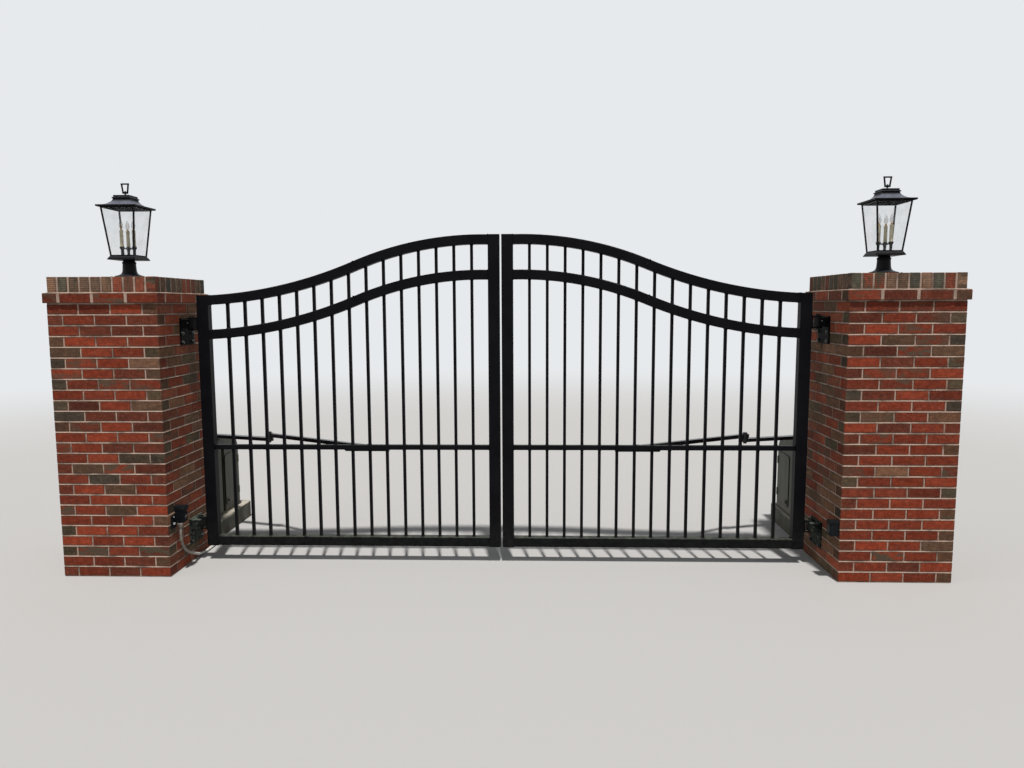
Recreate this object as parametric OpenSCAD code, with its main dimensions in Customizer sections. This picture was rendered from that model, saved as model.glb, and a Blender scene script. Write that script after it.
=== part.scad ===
// Twin-leaf arched driveway gate between two brick piers, with a lantern on each
// pier and an articulated-arm gate operator behind each pier.
// +X runs along the opening, +Y points into the property, +Z is up.
// The origin is on the ground, midway between the piers and midway front to back.
// Everything is drawn for the right-hand side and mirrored for the left.

/* [Opening and piers] */
// Clear width between the two piers
opening_w = 4260; // [3600:10:5000]
// Side of the square pier
pier_w = 702; // [600:1:820]
// Height of one course of bricks with its mortar joint
course_h = 67.7; // [60:0.1:80]
// Number of plain courses below the projecting one
plain_courses = 26; // [22:1:28]
// How far the projecting course stands out on each side
corbel_out = 16; // [8:1:30]
// Height of the cap course of bricks on edge
cap_h = 100; // [80:1:115]
// How far the cap course stands back from the pier's sides
cap_back = 6; // [0:1:12]

/* [Gate leaves] */
// Gap between the pier and the hinge stile
hinge_gap = 103; // [90:1:130]
// Gap between the two meeting stiles
leaf_gap = 12.7; // [8:0.1:30]
// Width of the hinge and meeting stiles
stile_w = 76.2; // [60:0.1:90]
// Depth of the stiles and rails, front to back
frame_d = 63.5; // [50:0.5:76]
// Height of the bottom rail and the two arched rails
rail_t = 63.5; // [50:0.5:76]
// Corner radius of the frame tube
tube_r = 5; // [2:0.5:8]
// Height of the leaf's underside above the ground
leaf_bottom = 108; // [60:1:150]
// Height of the top rail's upper edge where its arch starts, beside the hinge stile
hinge_top = 1812; // [1700:1:1900]
// Rise of the arched rails from the hinge stile to the meeting stile
arch_rise = 391; // [250:1:450]
// Distance from the gate's middle at which the hollow of the arch starts
arch_start = 2085; // [2050:5:2150]
// Distance from the gate's middle at which the crown of the arch ends
arch_flat = 130; // [100:5:300]
// Share of the arch's run that is hollow, the rest is crowned
hollow_share = 0.57; // [0.45:0.01:0.65]
// Drop from the top rail to the lower arched rail
rail_drop = 229; // [180:1:280]
// Height and depth of the mid rail
mid_t = 32; // [28:1:45]
// Height of the mid rail's underside
mid_z = 773; // [650:1:900]
// Side of the square pickets
picket_w = 19; // [16:0.5:22]
// Number of pickets in each leaf
picket_count = 15; // [12:1:16]
// Distance from one picket to the next
picket_pitch = 117; // [110:0.5:118]
// Clear gap between the meeting stile and the first picket
picket_gap = 98; // [80:1:110]

/* [Hinges] */
// Height of the upper hinge's middle
upper_hinge_z = 1626; // [1500:1:1650]
// Height of the lower hinge's middle
lower_hinge_z = 262; // [230:1:350]
// Height of the bearing block on the pier plate
block_h = 60; // [50:1:90]
// Radius of the hinge pin
pin_r = 10; // [8:0.5:14]

/* [Operators] */
// Length of the crank, from the operator's shaft to the elbow
crank_l = 560; // [550:1:575]
// Length of the link, from the elbow to the leaf's bracket
link_l = 980; // [970:1:990]
// Height of the concrete pad
pad_h = 133; // [100:1:180]
// Height of the housing above the pad
housing_h = 594; // [560:1:596]
// Radius of the housing's top, at its front and back
housing_r = 150; // [40:1:200]
// How much further out the left-hand housing stands on its pad
left_housing_out = 36; // [0:1:40]

/* [Lanterns] */
// Side of the roof at its eave
eave_w = 264; // [240:1:290]
// Side of the glazed body at its top
body_top_w = 226; // [200:1:232]
// Side of the glazed body at its bottom
body_bottom_w = 162; // [140:1:180]
// Height of the glazed body
body_h = 317; // [240:1:340]
// Width of a corner post of the glazed body
post_w = 9; // [6:0.5:12]

/* [Hidden] */

$fn = 48;
ARC_FN = 720;
EPS = 1;

// Colours, as the photo shows them
BRICK = [0.58, 0.24, 0.17];
CAP_BRICK = [0.42, 0.29, 0.24];
BLACK = [0.07, 0.07, 0.08];
CLEAR = [0.8, 0.9, 0.95, 0.35];
CREAM = [0.85, 0.8, 0.65];
GREY = [0.5, 0.52, 0.48];
CONCRETE = [0.66, 0.64, 0.58];

// Plan: the pad behind the piers reaches furthest back
pad_back = 1430;
pad_front = 820;
total_d = pad_back + corbel_out;
pier_front_y = corbel_out - total_d / 2;
gate_y = pier_front_y + pier_w / 2;
pier_x = opening_w / 2 + pier_w / 2;

// Pier heights
corbel_z = plain_courses * course_h;
cap_z = corbel_z + course_h;
pier_top = cap_z + cap_h;

// Leaf outline, for the right-hand leaf
hinge_x1 = opening_w / 2 - hinge_gap;
hinge_x0 = hinge_x1 - stile_w;
meet_x0 = leaf_gap / 2;
meet_x1 = meet_x0 + stile_w;

// Arched rails: two tangent arcs of equal turn between two level ends
arch_run = arch_start - arch_flat;
arch_turn = 2 * atan(arch_rise / arch_run);
radius_sum = arch_run / sin(arch_turn);
hollow_r = radius_sum * hollow_share;
crown_r = radius_sum - hollow_r;
hollow_z = hinge_top + hollow_r;
crown_z = hinge_top + arch_rise - crown_r;
joint_x = arch_start - hollow_r * sin(arch_turn);
joint_z = hollow_z - hollow_r * cos(arch_turn);
weld_w = 12;
weld_out = 0.6;
hinge_stile_top = hollow_z - sqrt(pow(hollow_r, 2) - pow(arch_start - hinge_x0, 2));
meet_stile_top = hinge_top + arch_rise;

// Pickets
picket_x0 = meet_x1 + picket_gap + picket_w / 2;
picket_xs = [for (i = [0 : picket_count - 1]) picket_x0 + i * picket_pitch];

// Hinges: the pin stands between the stile and the pier, on the leaf's middle plane
pivot_x = opening_w / 2 - 54;
plate_t = 10;
plate_h = 177;
plate_front = -68;
plate_back = 112;
block_front = -62;
block_back = 28;
block_reach = 72;
lug_t = 10;
lug_gap = 1.5;
lug_w = 52;
pin_gap = 0.08;
hinge_zs = [lower_hinge_z, upper_hinge_z];
plate_drop = 36;

// Operator, in plan
pad_x0 = 2150;
pad_x1 = 2560;
housing_x0 = 2166;
housing_x1 = 2510;
housing_front = pier_front_y + 862;
housing_back = pier_front_y + 1330;
housing_top = pad_h + housing_h;
shaft = [2310, pier_front_y + 1037];
shaft_r = 19;
arm_pin = [914, gate_y + 56];
arm_span = norm(shaft - arm_pin);
arm_dir = atan2(arm_pin[1] - shaft[1], arm_pin[0] - shaft[0]);
// The elbow is where the crank's circle round the shaft meets the link's round the bracket
crank_off = acos((pow(crank_l, 2) + pow(arm_span, 2) - pow(link_l, 2)) / (2 * crank_l * arm_span));
crank_dir = arm_dir - crank_off;
elbow = shaft + crank_l * [cos(crank_dir), sin(crank_dir)];
link_dir = atan2(elbow[1] - arm_pin[1], elbow[0] - arm_pin[0]);

// Arm heights: the link passes over the crank
link_t = 27;
link_z = 765.5;
crank_t = 25;
arm_gap = 5.5;
crank_z = link_z - arm_gap - crank_t;
crank_w = 50;
crank_hub_r = 42;
elbow_r = 30;
ear_t = 7;
ear_gap = 2;
ear_len = 60;
arm_pin_r = 8;
bracket_l = 300;
bracket_t = 8;
bracket_z0 = 757;
bracket_z1 = 788;
door_y = pier_front_y + 1059;
cover_r = 26;
flange_out = 8;
door_out = 5;
door_z = 254;
door_h = 395;

// Lantern heights above the pier
foot_w = 206;
neck_top = 115;
tray_h = 30;
tray_w = 190;
tray_rim = 3;
body_z = neck_top + tray_h;
roof_z = body_z + body_h;
roof_h = 66;
roof_top_w = 114;
eave_t = 11;
candle_r = 11;
candle_ring = 42;
candle_turn = 63;

// Photo eye, reflector and the conduit from the eye
eye_w = 70;
eye_d = 42;
eye_h = 108;
eye_y = pier_front_y + 112;
eye_z = 334;
reflector_w = 55;
reflector_h = 96;
reflector_d = 50;
reflector_z = 292;
conduit_r = 9;
fitting_x = -opening_w / 2 + 30;
fitting_y = pier_front_y + 100;
fitting_h = 16;
// Distance from the gate's middle, distance behind the piers' front and height
conduit_points = [[-2100, 100, 317.8], [-2100, 100, 304], [-2100, 99, 270], [-2100, 99, 232],
    [-2100, 107, 194],
    [-2100, 128, 155], [-2100, 168, 119], [-2100, 220, 90], [-2101, 268, 69], [-2104, 314, 50],
    [-2108, 360, 34], [-2112, 400, 23], [-2115, 440, 15], [-2116, 500, 10.5], [-2116, 590, 10],
    [-2117, 650, 10], [-2118, 692, 10], [-2120, 708, 10], [-2125, 724, 11], [-2133, 738, 13],
    [-2144, 750, 15], [-2156, 762, 18], [-2164, 776, 20], [-2169, 792, 22], [-2171, 808, 23],
    [-2171, 819.6, 23]];
conduit_route = [for (p = conduit_points) [p[0], pier_front_y + p[1], p[2]]];
conduit_sides = 10;

// Shared shapes

// Draws its children on the right (s = 1) or mirrored on the left (s = -1)
module side(s) {
    if (s > 0) children();
    else mirror([1, 0, 0]) children();
}

// Rectangle with rounded corners, centred
module tube_section(w, d, r) {
    square([w - 2 * r, d], center = true);
    square([w, d - 2 * r], center = true);
    for (x = [-1, 1], y = [-1, 1]) translate([x * (w / 2 - r), y * (d / 2 - r)])
        circle(r = r, $fn = 16);
}

// Upright frame tube between two heights
module stile(x0, x1, z0, z1) {
    translate([(x0 + x1) / 2, gate_y, z0])
        linear_extrude(z1 - z0) tube_section(x1 - x0, frame_d, tube_r);
}

// Level frame tube between two x positions
module rail(x0, x1, z0, h, d, r) {
    translate([x0, gate_y, z0 + h / 2])
        rotate([90, 0, 90]) linear_extrude(x1 - x0) tube_section(d, h, r);
}

// Frame tube bent round an axis parallel to Y, from one angle to another
module bent_tube(cx, cz, r_mid, a0, a1) {
    translate([cx, gate_y, cz]) rotate([90, 0, 0]) rotate([0, 0, a0])
        rotate_extrude(angle = a1 - a0, $fn = ARC_FN)
            translate([r_mid, 0]) tube_section(rail_t, frame_d, tube_r);
}

// Round post or disc along Y, used to cut ends to the curve of a rail
module curve_disc(cx, cz, r) {
    translate([cx, gate_y, cz]) rotate([90, 0, 0])
        cylinder(r = r, h = frame_d, center = true, $fn = ARC_FN);
}

// Solid whose outline is the child's from all four sides
module four_sided(w) {
    intersection() {
        rotate([90, 0, 0]) linear_extrude(w, center = true) children();
        rotate([90, 0, 90]) linear_extrude(w, center = true) children();
    }
}

// Square frustum centred on the axis
module frustum(w0, w1, h) {
    four_sided(max(w0, w1) + 2)
        polygon([[-w0 / 2, 0], [w0 / 2, 0], [w1 / 2, h], [-w1 / 2, h]]);
}

// Piers

module pier(s) {
    color(BRICK) side(s) translate([pier_x, gate_y, 0]) union() {
        translate([-pier_w / 2, -pier_w / 2, 0]) cube([pier_w, pier_w, cap_z]);
        translate([-pier_w / 2 - corbel_out, -pier_w / 2 - corbel_out, corbel_z])
            cube([pier_w + 2 * corbel_out, pier_w + 2 * corbel_out, course_h]);
    }
}

module pier_cap(s) {
    w = pier_w - 2 * cap_back;
    color(CAP_BRICK) side(s) translate([pier_x - w / 2, gate_y - w / 2, cap_z]) cube([w, w, cap_h]);
}

// Lanterns

module at_lantern(s) {
    side(s) translate([pier_x, gate_y, pier_top]) children();
}

// Bell neck on a square foot with hollow shoulders, under a tray that is widest at its lower rim
module lantern_base(s) {
    half = foot_w / 2;
    color(BLACK) at_lantern(s) union() {
        four_sided(foot_w + 2) polygon([[-half, 0], [half, 0], [half, 20], [90, 26], [70, 34], [58, 46],
            [-58, 46], [-70, 34], [-90, 26], [-half, 20]]);
        rotate_extrude() polygon([[0, 40], [56, 40], [56, 46], [48, 62], [44, 80], [41, 90],
            [43, 93], [43, 100], [34, 108], [32, neck_top + EPS], [0, neck_top + EPS]]);
        translate([0, 0, neck_top]) frustum(tray_w, tray_w, tray_rim);
        translate([0, 0, neck_top + tray_rim])
            frustum(tray_w, body_bottom_w + 4, tray_h - tray_rim);
    }
}

// Four corner posts with a top and bottom ring, cut from one hollow frustum
module lantern_frame(s) {
    wall = 7;
    lean = (body_top_w - body_bottom_w) / 2;
    ring = 8;
    w0 = body_bottom_w / 2 - post_w + lean * ring / body_h;
    w1 = body_top_w / 2 - post_w - lean * ring / body_h;
    color(BLACK) at_lantern(s) translate([0, 0, body_z]) difference() {
        frustum(body_bottom_w, body_top_w, body_h);
        translate([0, 0, -EPS]) frustum(body_bottom_w - 2 * wall - 2 * lean * EPS / body_h,
            body_top_w - 2 * wall + 2 * lean * EPS / body_h, body_h + 2 * EPS);
        for (a = [0, 90]) rotate([90, 0, a]) translate([0, 0, -body_top_w])
            linear_extrude(2 * body_top_w)
                polygon([[-w0, ring], [w0, ring], [w1, body_h - ring], [-w1, body_h - ring]]);
    }
}

// Four leaning panes set in the openings of the frame
module lantern_glass(s) {
    pane_t = 3;
    set_in = 2;
    lean = (body_top_w - body_bottom_w) / 2;
    tilt = atan(lean / body_h);
    slope = body_h / cos(tilt);
    ring = 8.4;
    w0 = body_bottom_w / 2 - post_w - 0.4 + lean * ring / body_h;
    w1 = body_top_w / 2 - post_w - 0.4 - lean * ring / body_h;
    color(CLEAR) at_lantern(s) translate([0, 0, body_z]) for (a = [0 : 90 : 270]) rotate([0, 0, a])
        translate([0, -body_bottom_w / 2 + set_in, 0]) rotate([90 + tilt, 0, 0])
            translate([0, 0, -pane_t]) linear_extrude(pane_t)
                polygon([[-w0, ring], [w0, ring], [w1, slope - ring], [-w1, slope - ring]]);
}

// Half of the roof's outline above the eave, up to the hollow of its flare
module roof_outline() {
    flare_r = 210;
    half = eave_w / 2;
    top = roof_top_w / 2;
    run = half - top;
    rise = roof_h - eave_t;
    span = norm([run, rise]);
    back = sqrt(pow(flare_r, 2) - pow(span / 2, 2));
    cx = (half + top) / 2 + back * rise / span;
    cz = eave_t + rise / 2 + back * run / span;
    difference() {
        polygon([[-half, 2], [-half + 2, 0], [half - 2, 0], [half, 2], [half, eave_t],
            [top, roof_h], [-top, roof_h], [-half, eave_t]]);
        for (k = [-1, 1]) translate([k * cx, cz]) circle(r = flare_r, $fn = 240);
    }
}

// Flared roof on four sides, a stepped cap and an open loop on top
module lantern_roof(s) {
    color(BLACK) at_lantern(s) translate([0, 0, roof_z]) union() {
        four_sided(eave_w + 2) roof_outline();
        translate([0, 0, roof_h - EPS]) frustum(roof_top_w + 6, roof_top_w + 6, 10 + EPS);
        translate([0, 0, roof_h + 9]) frustum(roof_top_w - 8, roof_top_w - 8, 11);
        translate([0, 0, roof_h + 19]) frustum(roof_top_w - 22, roof_top_w - 60, 11);
        translate([0, 3, roof_h + 28]) rotate([90, 0, 0]) linear_extrude(6) difference() {
            polygon([[-19, 0], [19, 0], [28, 68], [-28, 68]]);
            polygon([[-12, 14], [12, 14], [20, 61], [-20, 61]]);
        }
    }
}

// Three candles on a disc over a stem: leg, cup, sleeve and flame bulb on one axis
module lantern_candles(s) {
    color(CREAM) at_lantern(s) translate([0, 0, body_z]) union() {
        translate([0, 0, 50]) cylinder(r = candle_ring + 4, h = 4);
        cylinder(r = 10, h = 54);
        for (a = [0 : 120 : 240]) rotate([0, 0, candle_turn + a]) translate([candle_ring, 0, 0])
            rotate_extrude($fn = 24) polygon([[0, 0], [8.5, 0], [8.5, 49], [15, 54], [15, 64],
                [candle_r, 64], [candle_r, 172], [7, 173], [7, 180], [12, 194], [13, 204], [9, 220],
                [3, 236], [0, 242]]);
    }
}

// Hinges

// Bolted plate with a bored bearing block, one for each hinge
module hinge_plates(s) {
    face = opening_w / 2;
    color(BLACK) side(s) for (z = hinge_zs) difference() {
        union() {
            translate([face - plate_t, gate_y + plate_front, z + plate_drop - plate_h])
                cube([plate_t, plate_back - plate_front, plate_h]);
            translate([face - block_reach, gate_y + block_front, z - block_h / 2])
                cube([block_reach - plate_t + EPS, block_back - block_front, block_h]);
        }
        translate([pivot_x, gate_y, z - block_h]) cylinder(r = pin_r + pin_gap, h = 2 * block_h);
        for (y = [plate_front + 16, plate_back - 16], row = [18, 78])
            translate([face - 2 * plate_t, gate_y + y, z + plate_drop - plate_h + row])
                rotate([0, 90, 0]) cylinder(r = 6.5, h = 3 * plate_t);
        translate([face - 2 * plate_t, gate_y + plate_back - 16, z + plate_drop - 18])
            rotate([0, 90, 0]) cylinder(r = 6.5, h = 3 * plate_t);
    }
}

// Clevis on the hinge stile: a strap, two round-ended lugs and the pin
module hinge_yokes(s) {
    reach = pivot_x - hinge_x1;
    half = block_h / 2 + lug_gap;
    color(BLACK) side(s) for (z = hinge_zs) translate([hinge_x1, gate_y, z]) union() {
        translate([0, -lug_w / 2, -half - lug_t]) cube([8, lug_w, 2 * (half + lug_t)]);
        for (z0 = [-half - lug_t, half]) translate([0, 0, z0]) {
            translate([0, -lug_w / 2, 0]) cube([reach, lug_w, lug_t]);
            translate([reach, 0, 0]) cylinder(r = lug_w / 2, h = lug_t);
        }
        translate([reach, 0, -half - lug_t - 8]) cylinder(r = pin_r, h = 2 * (half + lug_t + 8));
        translate([reach, 0, half + lug_t]) cylinder(r = pin_r + 7, h = 9, $fn = 6);
    }
}

// Leaf frame

module hinge_stile(s) {
    color(BLACK) side(s) stile(hinge_x0, hinge_x1, leaf_bottom, hinge_stile_top);
}

module meeting_stile(s) {
    color(BLACK) side(s) stile(meet_x0, meet_x1, leaf_bottom, meet_stile_top);
}

module bottom_rail(s) {
    color(BLACK) side(s) rail(meet_x1, hinge_x0, leaf_bottom, rail_t, frame_d, tube_r);
}

// The mid rail is punched for the pickets, which pass through it
module mid_rail(s) {
    color(BLACK) side(s) difference() {
        rail(meet_x1, hinge_x0, mid_z, mid_t, mid_t, 2);
        for (x = picket_xs) translate([x - picket_w / 2, gate_y - picket_w / 2, mid_z - EPS])
            cube([picket_w, picket_w, mid_t + 2 * EPS]);
    }
}

// Arched rail: hollow arc and crown arc, joined end to end inside a band of weld
module arch_rail(s, drop) {
    lap = 0.04;
    run_out = asin((arch_flat - meet_x1 + 20) / crown_r);
    color(BLACK) side(s) union() {
        difference() {
            bent_tube(arch_start, hollow_z - drop, hollow_r + rail_t / 2, 270 - arch_turn + lap, 270);
            translate([hinge_x0, gate_y - frame_d, hinge_top - drop - 2 * rail_t])
                cube([2 * stile_w, 2 * frame_d, 4 * rail_t]);
        }
        difference() {
            bent_tube(arch_flat, crown_z - drop, crown_r - rail_t / 2,
                90 - arch_turn + lap, 90 + run_out);
            translate([meet_x1 - stile_w, gate_y - frame_d, meet_stile_top - drop - 2 * rail_t])
                cube([stile_w, 2 * frame_d, 4 * rail_t]);
        }
        translate([joint_x, gate_y, joint_z - drop]) rotate([0, -arch_turn, 0])
            translate([-weld_w / 2, -frame_d / 2 - weld_out, -rail_t - weld_out])
                cube([weld_w, frame_d + 2 * weld_out, rail_t + 2 * weld_out]);
    }
}

// Long piece of a picket, from the bottom rail up to the lower arched rail's underside
module picket_below(x) {
    z0 = leaf_bottom + rail_t;
    if (x > joint_x) difference() {
        picket_bar(x, z0);
        curve_disc(arch_start, hollow_z - rail_drop, hollow_r + rail_t);
    }
    else intersection() {
        picket_bar(x, z0);
        curve_disc(arch_flat, crown_z - rail_drop, crown_r - rail_t);
    }
}

// Short piece of a picket, between the two arched rails
module picket_above(x) {
    z0 = hinge_top - rail_drop - rail_t;
    if (x > joint_x) difference() {
        intersection() {
            picket_bar(x, z0);
            curve_disc(arch_start, hollow_z - rail_drop, hollow_r);
        }
        curve_disc(arch_start, hollow_z, hollow_r + rail_t);
    }
    else difference() {
        intersection() {
            picket_bar(x, z0);
            curve_disc(arch_flat, crown_z, crown_r - rail_t);
        }
        curve_disc(arch_flat, crown_z - rail_drop, crown_r);
    }
}

// Square bar from z0 up to just over the arch's height, to be cut by a curve
module picket_bar(x, z0) {
    z1 = x > joint_x ? hollow_z - hollow_r * cos(arch_turn) + rail_t : meet_stile_top;
    translate([x - picket_w / 2, gate_y - picket_w / 2, z0]) cube([picket_w, picket_w, z1 - z0]);
}

module pickets(s) {
    color(BLACK) side(s) for (x = picket_xs) {
        picket_below(x);
        picket_above(x);
    }
}

// Bracket on the back of the mid rail, with the fixed pin for the link's fork
module arm_bracket(s) {
    back = gate_y + mid_t / 2;
    lug_z = link_z + ear_t + ear_gap;
    lug_h = link_t - 2 * (ear_t + ear_gap);
    color(BLACK) side(s) union() {
        translate([arm_pin[0] - bracket_l / 2, back, bracket_z0])
            cube([bracket_l, bracket_t, bracket_z1 - bracket_z0]);
        translate([arm_pin[0] - 20, back, lug_z]) cube([40, arm_pin[1] - back, lug_h]);
        translate([arm_pin[0], arm_pin[1], lug_z]) cylinder(r = 20, h = lug_h);
        translate([arm_pin[0], arm_pin[1], link_z - 7]) cylinder(r = arm_pin_r, h = link_t + 14);
    }
}

// Operators

module operator_pad(s) {
    color(CONCRETE) side(s) translate([pad_x0, pier_front_y + pad_front, 0])
        cube([pad_x1 - pad_x0, pad_back - pad_front, pad_h]);
}

// Outline with rounded top corners, centred on its width
module round_top(w, h, r) {
    square([w, 2 * (h - r)], center = true);
    square([w - 2 * r, 2 * h], center = true);
    for (x = [-1, 1]) translate([x * (w / 2 - r), h - r]) circle(r = r);
}

// Housing: round-topped cover on a flange, the output shaft on top and a door on its inner side,
// with a narrow seam in front of the right-hand door and a deep channel in front of the left
module operator_housing(s) {
    out = s < 0 ? left_housing_out : 0;
    d = housing_back - housing_front;
    w = housing_x1 - housing_x0;
    door_w = housing_back - door_y - 30;
    slit_w = s < 0 ? 54 : 8;
    slit_d = s < 0 ? 26 : 8;
    slit_z0 = s < 0 ? 12 : 60;
    slit_z1 = s < 0 ? 530 : 452;
    color(GREY) side(s) union() {
        translate([(housing_x0 + housing_x1) / 2 + out, (housing_front + housing_back) / 2, pad_h])
            difference() {
                union() {
                    intersection() {
                        rotate([90, 0, 90]) linear_extrude(w, center = true)
                            round_top(d, housing_h, housing_r);
                        rotate([90, 0, 0]) linear_extrude(d, center = true)
                            round_top(w, housing_h, cover_r);
                        translate([-w, -d, 0]) cube([2 * w, 2 * d, housing_h]);
                    }
                    translate([-w / 2 - flange_out, -d / 2 - flange_out, 0])
                        cube([w + 2 * flange_out, d + 2 * flange_out, 8]);
                    translate([-w / 2 - door_out, d / 2 - 30 - door_w / 2, door_z])
                        rotate([90, 0, 90]) linear_extrude(10) tube_section(door_w, door_h, 34);
                }
                translate([-w / 2 - EPS, d / 2 - 30 - door_w - slit_w, slit_z0])
                    cube([slit_d + EPS, slit_w, slit_z1 - slit_z0]);
            }
        translate([shaft[0], shaft[1], housing_top - 20])
            cylinder(r = 48, h = crank_z - 5 - housing_top + 20);
        translate([shaft[0], shaft[1], housing_top])
            cylinder(r = shaft_r, h = crank_z + crank_t - housing_top);
    }
}

// Crank: hub with a bore on the shaft, flat bar and elbow eye
module operator_crank(s) {
    color(BLACK) side(s) translate([shaft[0], shaft[1], crank_z]) rotate([0, 0, crank_dir])
        difference() {
            union() {
                cylinder(r = crank_hub_r, h = crank_t);
                translate([0, -crank_w / 2, 0]) cube([crank_l, crank_w, crank_t]);
                translate([crank_l, 0, 0]) cylinder(r = elbow_r, h = crank_t);
            }
            translate([0, 0, -EPS]) cylinder(r = shaft_r + pin_gap, h = crank_t + 2 * EPS);
        }
}

// Link: fork round the bracket's lug, square bar and elbow eye with its bolt head
module operator_link(s) {
    color(BLACK) side(s) translate([arm_pin[0], arm_pin[1], link_z]) rotate([0, 0, link_dir])
        difference() {
            union() {
                for (z = [0, link_t - ear_t]) translate([0, 0, z]) {
                    cylinder(r = 22, h = ear_t);
                    translate([0, -16, 0]) cube([ear_len + EPS, 32, ear_t]);
                }
                translate([ear_len, -16, 0]) cube([link_l - ear_len, 32, link_t]);
                translate([link_l, 0, 0]) cylinder(r = elbow_r, h = link_t);
                translate([link_l, 0, link_t - EPS]) cylinder(r = 17, h = 12 + EPS, $fn = 6);
            }
            translate([0, 0, -EPS]) cylinder(r = arm_pin_r + pin_gap, h = link_t + 2 * EPS);
        }
}

// Safety beam pieces on the piers' inner faces

// Ribbed, hooded eye on a plate, with a fitting for the conduit under it
module photo_eye() {
    color(BLACK) translate([-opening_w / 2, eye_y, eye_z]) union() {
        translate([0, -eye_d / 2, 0]) cube([eye_w - 12, eye_d, eye_h]);
        translate([0, -eye_d / 2 - 5, eye_h - 26]) cube([eye_w, eye_d + 10, 26]);
        for (z = [8 : 13 : 73]) translate([0, -eye_d / 2 - 3, z]) cube([eye_w - 8, eye_d + 6, 5]);
        translate([0, -80, -28]) cube([5, 66, 84]);
    }
    color(GREY) translate([fitting_x, fitting_y, eye_z - fitting_h])
        cylinder(r = 14, h = fitting_h + EPS);
}

// Reflector box near the front corner
module reflector() {
    color(BLACK) translate([opening_w / 2 - reflector_w, pier_front_y + 10, reflector_z]) union() {
        cube([reflector_w, reflector_d, reflector_h]);
        translate([-6, -4, reflector_h - 14]) cube([reflector_w + 6, reflector_d + 8, 14]);
    }
}

// Ring of points round the route at point i, square to the route
function route_dir(i) = let (n = len(conduit_route) - 1, a = conduit_route[max(i - 1, 0)],
    b = conduit_route[min(i + 1, n)]) (b - a) / norm(b - a);
function ring(i) = let (t = route_dir(i), u0 = cross([1, 0, 0], t), u = u0 / norm(u0), v = cross(t, u))
    [for (k = [0 : conduit_sides - 1]) let (a = 360 * k / conduit_sides)
        conduit_route[i] + conduit_r * (cos(a) * u + sin(a) * v)];

// Flexible conduit from the eye's fitting along the ground to the operator's pad
module conduit() {
    n = len(conduit_route);
    m = conduit_sides;
    color(GREY) polyhedron(
        points = [for (i = [0 : n - 1]) each ring(i)],
        faces = concat(
            [[for (k = [0 : m - 1]) k]],
            [for (i = [0 : n - 2], k = [0 : m - 1])
                [i * m + k, (i + 1) * m + k, (i + 1) * m + (k + 1) % m, i * m + (k + 1) % m]],
            [[for (k = [m - 1 : -1 : 0]) (n - 1) * m + k]]));
}

pier(-1);  // left_pier
pier(1);  // right_pier
pier_cap(-1);  // left_pier_cap
pier_cap(1);  // right_pier_cap
lantern_base(-1);  // left_lantern_base
lantern_base(1);  // right_lantern_base
lantern_frame(-1);  // left_lantern_frame
lantern_frame(1);  // right_lantern_frame
lantern_glass(-1);  // left_lantern_glass
lantern_glass(1);  // right_lantern_glass
lantern_roof(-1);  // left_lantern_roof
lantern_roof(1);  // right_lantern_roof
lantern_candles(-1);  // left_lantern_candles
lantern_candles(1);  // right_lantern_candles
hinge_plates(-1);  // left_hinge_plates
hinge_plates(1);  // right_hinge_plates
hinge_yokes(-1);  // left_hinge_yokes
hinge_yokes(1);  // right_hinge_yokes
hinge_stile(-1);  // left_hinge_stile
hinge_stile(1);  // right_hinge_stile
meeting_stile(-1);  // left_meeting_stile
meeting_stile(1);  // right_meeting_stile
bottom_rail(-1);  // left_bottom_rail
bottom_rail(1);  // right_bottom_rail
mid_rail(-1);  // left_mid_rail
mid_rail(1);  // right_mid_rail
arch_rail(-1, rail_drop);  // left_lower_arch_rail
arch_rail(1, rail_drop);  // right_lower_arch_rail
arch_rail(-1, 0);  // left_top_arch_rail
arch_rail(1, 0);  // right_top_arch_rail
pickets(-1);  // left_pickets
pickets(1);  // right_pickets
arm_bracket(-1);  // left_arm_bracket
arm_bracket(1);  // right_arm_bracket
operator_pad(-1);  // left_operator_pad
operator_pad(1);  // right_operator_pad
operator_housing(-1);  // left_operator_housing
operator_housing(1);  // right_operator_housing
operator_crank(-1);  // left_operator_crank
operator_crank(1);  // right_operator_crank
operator_link(-1);  // left_operator_link
operator_link(1);  // right_operator_link
photo_eye();  // left_photo_eye
reflector();  // right_reflector
conduit();
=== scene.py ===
"""Finishes and small pieces for a twin-leaf driveway gate hung between two brick piers."""

import math
import random
from contextlib import contextmanager

import bmesh
import bpy
from bpy.props import FloatProperty, FloatVectorProperty, PointerProperty
from mathutils import Euler, Matrix, Vector


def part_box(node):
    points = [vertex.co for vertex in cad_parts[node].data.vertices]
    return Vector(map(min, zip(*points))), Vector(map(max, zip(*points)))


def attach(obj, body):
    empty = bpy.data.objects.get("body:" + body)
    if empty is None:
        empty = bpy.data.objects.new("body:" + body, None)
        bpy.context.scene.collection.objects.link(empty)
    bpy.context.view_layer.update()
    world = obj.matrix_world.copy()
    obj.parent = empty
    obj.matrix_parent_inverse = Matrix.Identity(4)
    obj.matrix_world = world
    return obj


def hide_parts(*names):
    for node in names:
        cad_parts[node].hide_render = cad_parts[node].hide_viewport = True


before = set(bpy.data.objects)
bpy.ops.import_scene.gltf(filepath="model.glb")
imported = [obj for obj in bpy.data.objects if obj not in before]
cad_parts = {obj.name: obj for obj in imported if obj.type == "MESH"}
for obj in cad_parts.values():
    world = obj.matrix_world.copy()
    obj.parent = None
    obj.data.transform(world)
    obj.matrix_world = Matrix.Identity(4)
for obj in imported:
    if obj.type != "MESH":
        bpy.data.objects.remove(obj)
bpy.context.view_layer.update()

bl_info = {
    "name": "Driveway gate",
    "version": (1, 0, 0),
    "blender": (4, 5, 0),
    "location": "View3D > Sidebar > Gate",
    "description": "Dresses the driveway gate's solids with brickwork, fittings and finishes",
    "category": "Object",
}

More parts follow.
